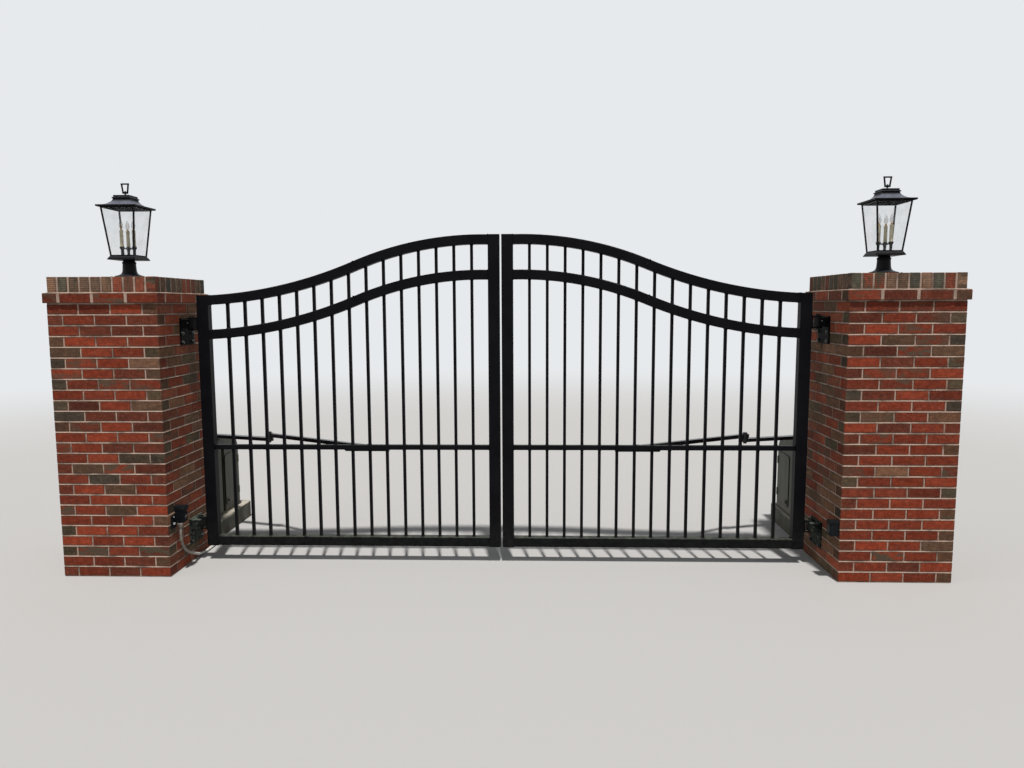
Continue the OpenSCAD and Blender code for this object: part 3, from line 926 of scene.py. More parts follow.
def fire(mesh, dice, clays, ends, flashed, combed):
    """Stores a brick's colours, how strongly its sides and ends are combed and how it was flashed."""
    colour, end_colour = choose_clay(dice, clays), choose_clay(dice, ends)
    flash = dice.uniform(0.5, 1.0) if dice.random() < flashed else 0.0
    clay = mesh.color_attributes.new("clay", "FLOAT_COLOR", "CORNER")
    fired = mesh.color_attributes.new("fired", "FLOAT_COLOR", "CORNER")
    seed = (flash, dice.random(), dice.random())
    for face in mesh.polygons:
        is_end = abs(face.normal.x) > 0.9
        for loop in face.loop_indices:
            clay.data[loop].color = (*(end_colour if is_end else colour), combed[is_end])
            fired.data[loop].color = (*seed, is_end)


def lay(master, place, dice, clays, ends=END_CLAYS, flashed=0.16, combed=COMBED):
    """Lays a copy of a brick by hand: turned and shifted a hair."""
    wobble = Matrix.Rotation(math.radians(dice.uniform(-0.25, 0.25)), 4, "Z")
    tip = Matrix.Rotation(math.radians(dice.uniform(-0.3, 0.3)), 4, "Y")
    laid = copy_of(master, wobble @ tip)
    fire(laid.data, dice, clays, ends, flashed, combed)
    laid.data.transform(place)
    return laid


def face_turn(number):
    """The turn from a square pier's front to another of its faces."""
    return Matrix.Rotation(number * math.pi / 2, 4, "Z")


def brick_ring(masters, half, z, bond, dice, inner):
    """One course round a square pier: three stretchers and a header on each face."""
    s = bpy.context.scene.gate_brickwork
    pitch = (2 * half - s.depth) / 3
    bricks = []
    for turn in range(4):
        for i in range(3):
            x = -half + s.length / 2 + i * pitch
            place = Matrix.Translation((-x if bond else x, -half + s.depth / 2, z))
            # The faces in the opening take the clays that carry painted light
            clays, combed = (INNER_CLAYS, INNER_COMBED) if turn == inner else (CLAYS, COMBED)
            if half > PIER_HALF:
                clays = clays[:CORBEL_CLAYS]
            place = face_turn(turn) @ place
            bricks.append(lay(dice.choice(masters), place, dice, clays, combed=combed))
    return bricks


class GATE_OT_brickwork(bpy.types.Operator):
    """Lays both piers brick by brick round their mortar"""

    bl_idname = "gate.brickwork"
    bl_label = "Brickwork"

    def execute(self, context):
        for side in SIDES:
            low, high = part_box(side + "_pier")
            self.centre = (low + high) / 2
            self.corbel_half = (high.x - low.x) / 2
            self.build_pier(side, high.z)
            self.build_mortar(side, high.z)
            self.build_cap(side)
        return {"FINISHED"}

    def build_pier(self, side, top):
        s = bpy.context.scene.gate_brickwork
        dice = random.Random(11 + SIDE_SIGN[side])
        pitch = top / COURSES
        inner = 1 if side == "left" else 3
        masters = [brick_master(s.length, s.depth, s.height, seed) for seed in (1, 2, 3)]
        bricks = []
        for course in range(COURSES):
            reach = self.corbel_half if course == COURSES - 1 else PIER_HALF
            bond = course % 2 == (side == "right")
            bricks += brick_ring(masters, reach, (course + 0.5) * pitch, bond, dice, inner)
        discard(*masters)
        self.set_down(bricks, side + "_pier_bricks", "brick", side + "_pier")

    def set_down(self, bricks, name, slot, node):
        """Moves bricks from the frame's middle to the pier and joins them in place of a node."""
        for laid in bricks:
            laid.data.transform(Matrix.Translation((self.centre.x, self.centre.y, 0)))
        dress(join(name, bricks), "brick", slot=slot, stands_for=(node,))

    def build_mortar(self, side, top):
        s = bpy.context.scene.gate_brickwork
        back, proud, pitch = s.joint_depth, 0.0008, top / COURSES
        core = add_slab(side + "_pier_core", self.centre, PIER_HALF - back, 0, top - pitch / 2)
        # Struck beds: each slopes back from the brick below, which throws a thin shadow under the next
        beds = [core]
        rise = (pitch - s.height) / 2
        for course in range(1, COURSES - 1):
            z = course * pitch
            strip = add_slab("bed", self.centre, PIER_HALF + proud, z - rise, z + rise)
            shrink_top(strip, (PIER_HALF - 0.005) / (PIER_HALF + proud), self.centre)
            beds.append(strip)
        shelf_low, edge = top - pitch + 0.006, self.corbel_half - back
        shelf = add_slab(side + "_corbel_mortar", self.centre, edge, shelf_low, top, 0.003)
        # A sloped bed on the corbel, from its edge up to the cap
        cap_low, cap_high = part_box(side + "_pier_cap")
        edge = self.corbel_half - 0.001
        wash = add_slab(side + "_corbel_wash", self.centre, edge, top - 0.001, top + 0.0045)
        shrink_top(wash, (cap_high.x - cap_low.x - 0.004) / (2 * self.corbel_half), self.centre)
        for part in (join(side + "_pier_mortar", beds), shelf, wash):
            dress(part, "mortar")

    def build_cap(self, side):
        s = bpy.context.scene.gate_brickwork
        dice = random.Random(5 + SIDE_SIGN[side])
        low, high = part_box(side + "_pier_cap")
        half = (high.x - low.x) / 2
        depth = high.z - low.z - 0.004
        z = high.z - depth / 2
        bricks = []

        def lay_on_edge(length, width, seed, place):
            master = brick_master(length, depth, width, seed)
            bricks.append(lay(master, place @ ON_EDGE, dice, CAP_CLAYS, CAP_CLAYS, 0.3, CAP_COMBED))
            discard(master)

        # A rim of bricks that point inwards, mitred at the corners, round four rows that fill it
        count = 10
        pitch = (2 * half - s.height) / (count - 1)
        for turn in range(4):
            for i in range(count - 1):
                length = min(s.length, min(i, count - 1 - i) * pitch + s.height)
                place = Matrix.Translation((-half + s.height / 2 + i * pitch, -half + length / 2, z))
                lay_on_edge(length, s.height, 20 + i, face_turn(turn) @ place)
        inner, rows, joint = half - s.length - 0.01, 4, 0.01
        width = (2 * inner - joint * (rows + 1)) / rows
        run = inner - 0.012
        for i in range(rows):
            x = -inner + joint + width / 2 + i * (width + joint)
            for way in (-1, 1):
                place = Matrix.Translation((x, way * (run / 2 + joint / 2), z - 0.001))
                lay_on_edge(run, width, 50 + i, place)
        self.set_down(bricks, side + "_cap_bricks", "cap_brick", side + "_pier_cap")
        back = s.joint_depth
        bed = add_slab(
            side + "_cap_mortar", self.centre, half - back, low.z - 0.01, high.z - back, 0.003
        )
        dress(bed, "mortar", slot="cap_brick")


# Shapes that the fittings share


def hex_bolt(across, head, washer=0.0, threads=0):
    """A hexagon head with its corners taken off, on a washer, with threads above it, all in mm."""
    corner = across / 2 / math.cos(math.pi / 6)
    seat = 2.2 if washer else 0.0
    top = seat + head
    parts = [turned("bolt", [(corner, seat), (corner, seat + head * 0.78), (corner * 0.85, top)], 6)]
    if washer:
        rim = [(washer, 0), (washer, 1.5), (washer - 0.7, seat)]
        parts.append(turned("washer", rim, 20))
    if threads:
        radius, pitch = across * 0.3, 3
        tip = [(radius, top)]
        for i in range(threads):
            tip += [(radius * 0.88, top + (i + 0.5) * pitch), (radius, top + (i + 1) * pitch)]
        tip.append((radius * 0.7, tip[-1][1] + pitch / 2))
        parts.append(turned("tip", tip, 12))
    return join("bolt_master", parts)


def ring_path(centre, axis, wide, tall, step=0.012):
    """Points round a rectangle that stands square to an axis, 0 for X, 1 for Y, 2 for Z."""
    first, second = [i for i in range(3) if i != axis]
    corners = [(-wide, -tall), (wide, -tall), (wide, tall), (-wide, tall)]
    path = []
    for (a0, b0), (a1, b1) in zip(corners, corners[1:] + corners[:1]):
        steps = max(2, round(math.hypot(a1 - a0, b1 - b0) / step))
        for i in range(steps):
            point = list(centre)
            point[first] += a0 + (a1 - a0) * i / steps
            point[second] += b0 + (b1 - b0) * i / steps
            path.append(point)
    return path


def weld_ring(centre, wide, tall, radius=0.0034):
    """A weld bead round the end of a square part, half sunk in the corner that it fills."""
    return tube_along("weld", ring_path(centre, 0, wide, tall), radius, True, radius * 0.18)


def rounded_path(centre, wide, tall, corner, steps=6):
    """Points round a rectangle with rounded corners that stands square to X."""
    path = []
    for quarter, (a, b) in enumerate([(1, 1), (-1, 1), (-1, -1), (1, -1)]):
        for i in range(steps + 1):
            turn = (quarter + i / steps) * math.pi / 2
            across = a * (wide - corner) + corner * math.cos(turn)
            up = b * (tall - corner) + corner * math.sin(turn)
            path.append((centre[0], centre[1] + across, centre[2] + up))
    return path


def gate_middle():
    """The middle plane of the leaves, front to back."""
    low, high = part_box("right_bottom_rail")
    return (low.y + high.y) / 2


# Hinges


class GATE_OT_hinge_fittings(bpy.types.Operator):
    """Bolts the hinge plates to the piers and welds blocks and straps"""

    bl_idname = "gate.hinge_fittings"
    bl_label = "Hinge fittings"

    def execute(self, context):
        # The pins' plane lies behind the plates' front edge, and the bearing blocks lie round it
        low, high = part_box("right_hinge_plates")
        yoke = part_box("right_hinge_yokes")[0].x
        middle = low.y + 0.068
        block_front, block_half = middle - 0.062, 0.045
        face, pin_x = high.x - 0.010, high.x - 0.054
        rows = [(-0.052, -0.123), (-0.052, -0.063), (0.096, -0.123), (0.096, -0.063), (0.096, 0.018)]
        plate_bolts, block_welds, nipples, pins, strap_welds = [], [], [], [], []
        for z in (low.z + 0.141, high.z - 0.036):
            plate_bolts += [((face, middle + y, z + up), (-1, 0, 0)) for y, up in rows]
            centre = (face, block_front + block_half, z)
            block_welds.append(weld_ring(centre, block_half, 0.030, 0.0045))
            nipples.append(((pin_x, block_front, z + 0.006), (0, -1, 0)))
            strap_welds.append(weld_ring((yoke, middle, z), 0.026, 0.0415, 0.0042))
            for way in (-1, 1):
                pins.append(((pin_x, middle, z + way * 0.0415), (0, 0, way)))
                place = (yoke + 0.008, middle, z + way * 0.0365)
                strap_welds.append(weld_ring(place, 0.026, 0.005, 0.0032))
        both_sides("plate_bolts", spread(hex_bolt(21, 9, 14.5), plate_bolts), "bolt")
        both_sides("block_welds", block_welds, "hinge_iron")
        profile = [(5, 0), (5, 4), (2.8, 6), (3.4, 9), (1.6, 11)]
        both_sides("grease_nipples", spread(turned("nipple", profile, 12), nipples), "bolt")
        washer = turned("pin_washer", [(17, 0), (17, 2), (15.5, 2.8)])
        both_sides("pin_washers", spread(washer, pins), "bolt", "leaf")
        both_sides("strap_welds", strap_welds, "gate_black", "leaf")
        return {"FINISHED"}


# Welds of the leaves

PICKET = 0.019


def picket_joints(node):
    """Each cut end of a picket: its middle across, its height, the cut's slope and the rail's side."""
    spots = {}
    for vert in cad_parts[node].data.vertices:
        spots.setdefault(round(vert.co.x, 4), set()).add(round(vert.co.z, 4))
    edges = sorted(x for x, heights in spots.items() if len(heights) >= 4)
    joints = []
    for left in edges:
        right = min(edges, key=lambda x: abs(x - left - PICKET))
        if abs(right - left - PICKET) > 0.0003:
            continue
        starts, ends = sorted(spots[left]), sorted(spots[right])
        if len(starts) != 4 or len(ends) != 4:
            raise RuntimeError(f"{node} has no four cut heights at {left}")
        for i, (a, b) in enumerate(zip(starts, ends)):
            joints.append((left + PICKET / 2, (a + b) / 2, (b - a) / PICKET, 1 if i % 2 == 0 else -1))
    return joints


class GATE_OT_leaf_welds(bpy.types.Operator):
    """Welds pickets to rails and rails to stiles"""

    bl_idname = "gate.leaf_welds"
    bl_label = "Leaf welds"

    def execute(self, context):
        for side in SIDES:
            self.weld_pickets(side)
        self.weld_rails()
        self.plug_stiles()
        return {"FINISHED"}

    def weld_pickets(self, side):
        fillet = add_block("fillet", (-0.0122, -0.0122, -0.001), (0.0122, 0.0122, 0.004))
        with faces_towards(fillet, UP):
            bpy.ops.transform.resize(value=(0.88, 0.88, 1), center_override=(0, 0, 0))
            bpy.ops.mesh.extrude_region_move(TRANSFORM_OT_translate={"value": (0, 0, 0.002)})
            bpy.ops.transform.resize(value=(0.90, 0.90, 1), center_override=(0, 0, 0))
            bpy.ops.mesh.delete(type="FACE")
        low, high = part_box(side + "_mid_rail")
        middle = (low.y + high.y) / 2
        joints = picket_joints(side + "_pickets")
        lowest = min(z for _, z, _, _ in joints)
        # Where the pickets pass through the mid rail their mesh has no cut to find
        for x, z, _, _ in list(joints):
            if z - lowest < 0.001:
                joints += [(x, high.z, 0.0, 1), (x, low.z, 0.0, -1)]
        fillets = []
        for x, z, slope, up in joints:
            shear = Matrix(((1, 0, 0, x), (0, 1, 0, middle), (slope, 0, up, z), (0, 0, 0, 1)))
            fillets.append(copy_of(fillet, shear))
        discard(fillet)
        dress(join(side + "_picket_welds", fillets), "gate_black", side + "_leaf")

    def weld_rails(self):
        ends = (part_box("right_hinge_stile")[0].x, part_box("right_meeting_stile")[1].x)
        rings = []
        for node in ("right_bottom_rail", "right_mid_rail"):
            low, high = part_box(node)
            wide, tall = (high.y - low.y) / 2, (high.z - low.z) / 2
            for x in ends:
                rings.append(weld_ring((x, low.y + wide, low.z + tall), wide, tall))
        for node in ("right_top_arch_rail", "right_lower_arch_rail"):
            low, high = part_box(node)
            half = (high.y - low.y) / 2 - 0.0006
            for x, z in zip(ends, (low.z + half, high.z - half)):
                rings.append(weld_ring((x, (low.y + high.y) / 2, z), half, half))
        both_sides("rail_welds", rings, "gate_black", "leaf")

    def plug_stiles(self):
        """Rounded plugs in the stiles' open lower ends, each with a drain hole."""
        plugs = []
        for node in ("right_hinge_stile", "right_meeting_stile"):
            low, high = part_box(node)
            wall = 0.004
            top = (high.x - wall, high.y - wall, low.z + 0.002)
            plug = add_block("plug", low + Vector((wall, wall, -wall)), top)
            recess(plug, DOWN, (0.012, -0.003), (0.012, 0.003))
            plugs.append(round_edges(plug, 0.0015))
        both_sides("stile_plugs", plugs, "sensor_black", "leaf")


# Operators


class GATE_OT_arm_fittings(bpy.types.Operator):
    """Adds the bolts, washers and plates of the arms and their brackets"""

    bl_idname = "gate.arm_fittings"
    bl_label = "Arm fittings"

    def execute(self, context):
        self.link_low, self.link_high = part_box("right_operator_link")
        self.seat = self.link_high.z - 0.012
        self.fit_bracket()
        self.fit_elbow()
        self.fit_hub()
        return {"FINISHED"}

    def fit_bracket(self):
        low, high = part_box("right_arm_bracket")
        rail_low, rail_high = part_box("right_mid_rail")
        under = rail_low.z - 0.006
        corner = (high.x, rail_high.y + 0.004, rail_low.z)
        flange = add_block("flange", (low.x, rail_low.y + 0.002, under), corner, 0.0015)
        both_sides("bracket_flange", [flange], "gate_black", "leaf")
        middle = (rail_low.y + rail_high.y) / 2
        across = (low.x + 0.030, low.x + 0.105, high.x - 0.105, high.x - 0.030)
        nuts = [((x, middle, under), DOWN) for x in across]
        behind = (rail_high.y + 0.008, rail_low.z + 0.009)
        heads = [((x, *behind), (0, 1, 0)) for x in (low.x + 0.025, high.x - 0.025)]
        bolts = spread(hex_bolt(13, 4, 10), nuts)
        bolts += spread(hex_bolt(13, 6, 10), heads)
        both_sides("bracket_bolts", bolts, "bolt", "leaf")
        pin = Vector((0.914, gate_middle() + 0.056, self.seat))
        washer = turned("washer", [(15, 0), (15, 2), (13.8, 2.6)])
        washers = spread(washer, [(pin, UP), ((pin.x, pin.y, self.link_low.z), DOWN)])
        bends = [(-0.016, 0), (0.012, 0), (0.016, 0.005), (0.010, 0.010), (-0.012, 0.0092)]
        clip = tube_along("clip", [pin + Vector((x, y, 0.0045)) for x, y in bends], 0.0013)
        both_sides("bracket_pin_clip", washers + [clip], "bolt", "leaf")

    def fit_elbow(self):
        """The elbow's eye is the part of the crank nearest the gate's middle."""
        low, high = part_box("right_operator_crank")
        rim = [vert.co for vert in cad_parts["right_operator_crank"].data.vertices]
        tips = [place.y for place in rim if place.x < low.x + 0.002]
        elbow = (low.x + 0.030, (min(tips) + max(tips)) / 2)
        nut = spread(hex_bolt(24, 11, 19), [((*elbow, low.z), DOWN)])
        both_sides("elbow_nut", nut, "bolt", "crank")
        bush = [(23, 0), (24, 1), (24, 4.2), (22.5, 5)]
        bush = turned("bush", bush, 32, Matrix.Translation((*elbow, high.z)))
        both_sides("elbow_bush", [bush], "bolt", "crank")
        washer = [(21.5, 0), (21.5, 2), (20, 2.6)]
        washer = turned("washer", washer, 28, Matrix.Translation((*elbow, self.seat)))
        both_sides("elbow_washer", [washer], "bolt", "link")

    def fit_hub(self):
        place = Matrix.Translation((*SHAFT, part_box("right_operator_crank")[1].z))
        plate = turned("plate", [(27, 0), (27, 1.2), (26.2, 2)], 40)
        turns = [math.pi * k / 1.5 for k in range(3)]
        spots = [((0.017 * math.cos(a), 0.017 * math.sin(a), 0.0005), UP) for a in turns]
        screws = spread(turned("screw", [(3.8, 0), (3.8, 2.4), (3, 3)], 6), spots)
        for piece in (plate, *screws):
            piece.data.transform(place)
        both_sides("hub_plate", [plate, *screws], "bolt", "crank")


class GATE_OT_housing_fittings(bpy.types.Operator):
    """Fits gaskets, hinges, a lock, louvres, feet and anchors to the operator housings"""

    bl_idname = "gate.housing_fittings"
    bl_label = "Housing fittings"

    def execute(self, context):
        low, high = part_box("right_operator_housing")
        flange = 0.008
        self.low = low + Vector((flange, flange, 0))
        self.high = Vector((high.x - flange, high.y - flange, HOUSING_TOP))
        # The left housing stands a little further out than the right one mirrored
        self.shift = -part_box("left_operator_housing")[0].x - high.x
        self.fit_door()
        self.fit_louvres()
        self.fit_feet()
        self.fit_collar()
        return {"FINISHED"}

    def both(self, name, pieces, coat):
        both_sides(name, pieces, coat, left_shift=self.shift)

    def fit_door(self):
        face = self.low.x
        seal = rounded_path((face, 0.4725, 0.387), 0.123, 0.200, 0.036)
        self.both("door_seal", [tube_along("seal", seal, 0.0035, True)], "sensor_black")
        # A barrel of three knuckles, rounded at its ends
        profile = [
            (5.5, -30), (7, -28), (7, -10.5), (6.2, -10), (7, -9.5), (7, 9.5), (6.2, 10), (7, 10.5),
            (7, 28), (5.5, 30),
        ]
        places = [Matrix.Translation((face - 0.006, 0.597, z)) for z in (0.26, 0.515)]
        barrels = [turned("barrel", profile, 16, place) for place in places]
        self.both("door_hinges", barrels, "housing_grey")
        hasp = add_block("hasp", (face - 0.011, 0.366, 0.205), (face - 0.0045, 0.410, 0.240), 0.004)
        recess(hasp, (-1, 0, 0), (0.004, 0.002))
        profile = [(10, 0), (10, 4), (8.5, 5.5), (4, 6), (3.5, 3)]
        lock = turned("lock", profile, 20, standing((face - 0.010, 0.388, 0.2225), (-1, 0, 0)))
        self.both("door_hasp", [hasp, lock], "bolt")

    def fit_louvres(self):
        """Pressed louvres, open at their lower edge, on the back and the outer side."""
        profile = [(11, -62), (11, -58), (11, 58), (11, 62)]
        master = turned("louvre", profile, 20)
        with editing(master):
            for spot, normal in (((0, 0.0015, 0), (0, 1, 0)), ((-0.003, 0, 0), (1, 0, 0))):
                bpy.ops.mesh.select_all(action="SELECT")
                bpy.ops.mesh.bisect(plane_co=spot, plane_no=normal, clear_inner=True, use_fill=True)
        round_edges(master, 0.0012, 1)
        # Both turn the louvre's run level and its open edge down, and its hood to the back or the side
        to_back = Matrix(((0, 0, 1), (0, 1, 0), (1, 0, 0))).to_4x4()
        to_side = Matrix(((0, 1, 0), (0, 0, 1), (1, 0, 0))).to_4x4()
        sunk = 0.0015
        louvres = []
        for i in range(6):
            z = 0.46 + i * 0.026
            for place, turn in (
                ((2.338, self.high.y - sunk, z), to_back),
                ((self.high.x - sunk, 0.389, z), to_side),
            ):
                louvres.append(copy_of(master, Matrix.Translation(place) @ turn))
        discard(master)
        self.both("louvres", louvres, "housing_grey")

    def fit_feet(self):
        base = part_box("right_operator_pad")[1].z
        top = base + 0.006
        feet, anchors = [], []
        for x in (self.low.x + 0.055, self.high.x - 0.055):
            for y, step in ((self.low.y - 0.008, -1), (self.high.y + 0.008, 1)):
                y0, y1 = sorted((y - step * 0.006, y + step * 0.028))
                feet.append(add_block("foot", (x - 0.022, y0, base), (x + 0.022, y1, top), 0.0025))
                anchors.append(((x, y + step * 0.013, top), UP))
        self.both("feet", feet, "housing_grey")
        self.both("anchors", spread(hex_bolt(15, 8, 11.5, 2), anchors), "bolt")
        profile = [
            (16, 0), (16, 6), (14, 8), (14, 16), (11, 20), (8.5, 21), (8.5, 17),
        ]
        gland = turned("gland", profile, 20, standing((2.25, self.high.y - 0.001, 0.190), (0, 1, 0)))
        self.both("gland", [gland], "sensor_black")

    def fit_collar(self):
        profile = [(60, 726), (60, 727.5), (57.5, 729), (50.5, 729), (50.5, 727)]
        collar = turned("collar", profile, 48, Matrix.Translation((*SHAFT, 0)))
        both_sides("shaft_collar", [collar], "sensor_black")


class GATE_OT_pads(bpy.types.Operator):
    """Casts the operators' concrete pads, with worn arrises"""

    bl_idname = "gate.pads"
    bl_label = "Concrete pads"

    def execute(self, context):
        for number, side in enumerate(SIDES):
            name = side + "_operator_pad"
            low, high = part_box(name)
            inside = Vector((0.002, 0.002, 0))
            pad = add_block(side + "_pad", low + inside, high - inside - Vector((0, 0, 0.0005)))
            # All the edges but those on the ground, which are long and low
            round_edges(
                pad, 0.009, 2, lambda e: min(v.co.z for v in e.verts) > 0.05 or e.calc_length() < 0.2
            )
            edge = high.z - 0.006
            with editing(pad) as mesh:
                bpy.ops.mesh.select_all(action="SELECT")
                bpy.ops.mesh.subdivide(number_cuts=5)
                pick(pad, mesh, "verts", lambda v: v.co.z < edge)
                bpy.ops.transform.vertex_random(offset=0.0016, seed=7 + number)
                pick(pad, mesh, "verts", lambda v: v.co.z >= edge)
                bpy.ops.transform.vertex_random(offset=0.0005, seed=9 + number)
            dress(smooth(pad, 50), "concrete", stands_for=(name,))
        return {"FINISHED"}


# Safety beam and conduit fittings

EYE_FACE = -2.068
EYE_MIDDLE = -0.595


class GATE_OT_beam_fittings(bpy.types.Operator):
    """Adds the beam's lens, bolts and glands, and the reflector's face"""

    bl_idname = "gate.beam_fittings"
    bl_label = "Safety beam fittings"

    def execute(self, context):
        self.fit_eye()
        self.fit_reflector()
        self.fit_glands()
        return {"FINISHED"}

    def fit_eye(self):
        low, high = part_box("left_photo_eye")
        bezel = add_block(
            "beam_bezel",
            (EYE_FACE - 0.006, EYE_MIDDLE - 0.019, 0.342),
            (EYE_FACE + 0.004, EYE_MIDDLE + 0.019, 0.398),
            0.003,
        )
        dress(smooth(recess(bezel, (1, 0, 0), (0.004, 0.003))), "sensor_black")
        profile = [(13.5, 0), (13.5, 3), (12.5, 4.5), (9, 6), (3, 6.8)]
        place = standing((EYE_FACE - 0.001, EYE_MIDDLE, 0.370), (1, 0, 0))
        dress(smooth(turned("beam_lens", profile, 32, place)), "beam_lens")
        profile = [(4.5, 0), (4.5, 1), (3.5, 2.4), (1.5, 3)]
        place = standing((high.x - 0.012, EYE_MIDDLE - 0.026, 0.430), (0, -1, 0), 17)
        dress(smooth(turned("hood_screws", profile, 14, place)), "bolt")
        bolts = []
        for size, z in (((13, 6, 10), 0.334), ((7, 3, 5), 0.378)):
            bolts += spread(hex_bolt(*size), [((low.x + 0.005, -0.642, z), (1, 0, 0))])
        dress(smooth(join("eye_bracket_bolts", bolts)), "zinc")

    def fit_reflector(self):
        low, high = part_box("right_reflector")
        face, top = low.x + 0.006, high.z - 0.014
        front, back = low.y + 0.004, high.y - 0.004
        rim = add_block(
            "reflector_rim",
            (face - 0.004, front + 0.003, low.z + 0.006),
            (face + 0.002, back - 0.003, top - 0.004),
            0.002,
        )
        dress(smooth(recess(rim, (-1, 0, 0), (0.004, 0.003))), "sensor_black")
        prism = add_block(
            "reflector_prism",
            (face - 0.0025, front + 0.008, low.z + 0.011),
            (face + 0.001, back - 0.008, top - 0.009),
        )
        with faces_towards(prism, (-1, 0, 0)):
            bpy.ops.mesh.subdivide(number_cuts=9)
            bpy.ops.mesh.poke(offset=0.0009)
        dress(prism, "prism_face")

    def fit_glands(self):
        start, before, end = CONDUIT_ROUTE[0], *CONDUIT_ROUTE[-2:]
        place = standing(start + Vector((0, 0, 0.003)), UP, 12)
        nut = turned("nut", [(18.5, 0), (18.5, 7), (16.5, 9)], 6, place)
        profile = [(12.5, -16), (14.8, -13), (14.8, 2), (15.5, 3.2), (15.5, 13)]
        body = turned("gland", profile, 28, Matrix.Translation(start))
        profile = [(14.5, 0), (14.5, 6), (12.5, 10), (9.8, 12)]
        collar = turned("collar", profile, 24, standing((end.x, 0.1145, end.z), before - end))
        dress(smooth(join("conduit_glands", [nut, body, collar])), "conduit_grey")


# Lanterns

# Each candle stands on a circle round the stem, the first at this turn
CANDLE_CIRCLE = 0.042
FIRST_CANDLE = 63


class GATE_OT_lantern_fittings(bpy.types.Operator):
    """Models the candles, lamps and small parts of the lanterns"""

    bl_idname = "gate.lantern_fittings"
    bl_label = "Lantern fittings"

    def execute(self, context):
        low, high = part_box("right_lantern_base")
        roof_low, roof_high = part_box("right_lantern_roof")
        self.foot = Vector(((low.x + high.x) / 2, gate_middle(), low.z))
        self.fit_pedestal((high.z - low.z) * 1000)
        self.foot.z = roof_low.z
        self.fit_roof(roof_high.z - roof_low.z)
        self.foot.z = high.z
        self.fit_stand()
        self.fit_sleeves()
        self.fit_lamps()
        return {"FINISHED"}

    def fit(self, name, pieces, coat, node=None, angle=35):
        """Moves pieces from the frame's middle to the lantern's foot, for both lanterns."""
        for piece in pieces:
            piece.data.transform(Matrix.Translation(self.foot))
        both_sides(name, pieces, coat, node=node, angle=angle)

    def at_candles(self, master):
        copies = []
        for number in range(3):
            turn = math.radians(FIRST_CANDLE + 120 * number)
            spot = (CANDLE_CIRCLE * math.cos(turn), CANDLE_CIRCLE * math.sin(turn), 0)
            place = Matrix.Translation(spot) @ Matrix.Rotation(number * 2.1, 4, "Z")
            copies.append(copy_of(master, place))
        discard(master)
        return copies

    def fit_stand(self):
        """A turned stem with a round plate, and a cup and a leg under each candle."""
        stem = turned("stem", [
            (22, 0), (22, 3), (13, 6), (8.5, 11), (7.5, 30), (9.5, 40), (12, 50), (12, 58), (8, 63),
            (3, 66),
        ], 28)
        plate = turned("plate", [(44, 50), (46, 50.8), (46, 53.2), (44, 54)], 40)
        cup = turned("cup", [
            (4, 44), (9, 45.5), (13.5, 50), (15, 54), (15, 63.5), (14.2, 64.5), (12.8, 64.5),
            (12.2, 60),
        ])
        leg = turned("leg", [
            (11, 0), (11, 3), (8.5, 6), (7.8, 25), (8.5, 40), (9.5, 45.5),
        ], 20)
        parts = [stem, plate, *self.at_candles(cup), *self.at_candles(leg)]
        self.fit("candle_stand", parts, "lantern_black", "lantern_candles")

    def fit_sleeves(self):
        sleeve = turned("sleeve", [
            (11.8, 60), (11.2, 85), (11, 140), (11.4, 166), (11, 170.5), (9.8, 172), (8.6, 171.2),
            (8.4, 168),
        ])
        parts = [sleeve]
        for turn, length, top in ((20, 30, 0.169), (140, 18, 0.170), (250, 42, 0.168)):
            a = math.radians(turn)
            place = Matrix.Translation((0.0106 * math.cos(a), 0.0106 * math.sin(a), top))
            parts.append(turned("drip", [
                (1, -length), (2.2, -length + 3), (1.8, -length + 9), (1.4, -4), (0.8, 0),
            ], 8, place))
        self.fit("candle_sleeves", self.at_candles(join("sleeve", parts)), "candle_cream")

    def fit_lamps(self):
        socket = turned("socket", [
            (7.2, 166), (7.2, 174), (6.6, 175), (6.6, 181), (5.5, 182),
        ], 20)
        wire = tube_along("wire", [
            (-0.004, 0, 0.182), (-0.0045, 0.001, 0.196), (-0.003, 0.002, 0.212), (0, 0, 0.218),
            (0.003, -0.002, 0.212), (0.0045, -0.001, 0.196), (0.004, 0, 0.182),
        ], 0.0010)
        self.fit("lamp_sockets", self.at_candles(join("socket", [socket, wire])), "filament")
        bulb = turned("bulb", [
            (6.2, 180), (7.2, 184), (10.5, 190), (12.6, 197), (13, 204), (12, 212), (9.8, 220),
            (6.8, 228), (3.8, 236), (1.4, 241),
        ])
        self.fit("lamps", self.at_candles(bulb), "bulb_glass", angle=60)

    def fit_pedestal(self, height):
        """A bell neck with a collar on a square foot plate, and a tray up to the height in mm."""
        plate = squared("plate", [(88.5, 0), (90, 1.5), (90, 8.5), (88.5, 10)])
        bell = turned("bell", [
            (90, 9), (92.5, 11), (92.5, 14.5), (88, 17.5), (76, 20.5), (64, 24.5), (56, 28.5),
            (50, 34), (46.5, 40), (44.2, 48), (42.6, 62), (41.2, 86), (40.5, 96), (42.2, 98.5),
            (43.2, 101.5), (43.2, 105), (41.5, 108.5), (38, 112), (35.8, 115.5), (34.8, 122),
        ], 48)
        tray = squared("tray", [
            (92, 121.5), (95, 122.5), (95, 125), (86, height - 5), (83.5, height - 1), (82, height),
        ])
        screw = turned("screw", [(5.5, 0), (5.5, 1), (4.3, 3), (1.8, 3.8)], 16)
        corners = [(-1, -1), (1, -1), (1, 1), (-1, 1)]
        screws = spread(screw, [((a * 0.079, b * 0.079, 0.0098), UP) for a, b in corners])
        self.fit("lantern_pedestal", [plate, bell, tray, *screws], "lantern_black", "lantern_base")

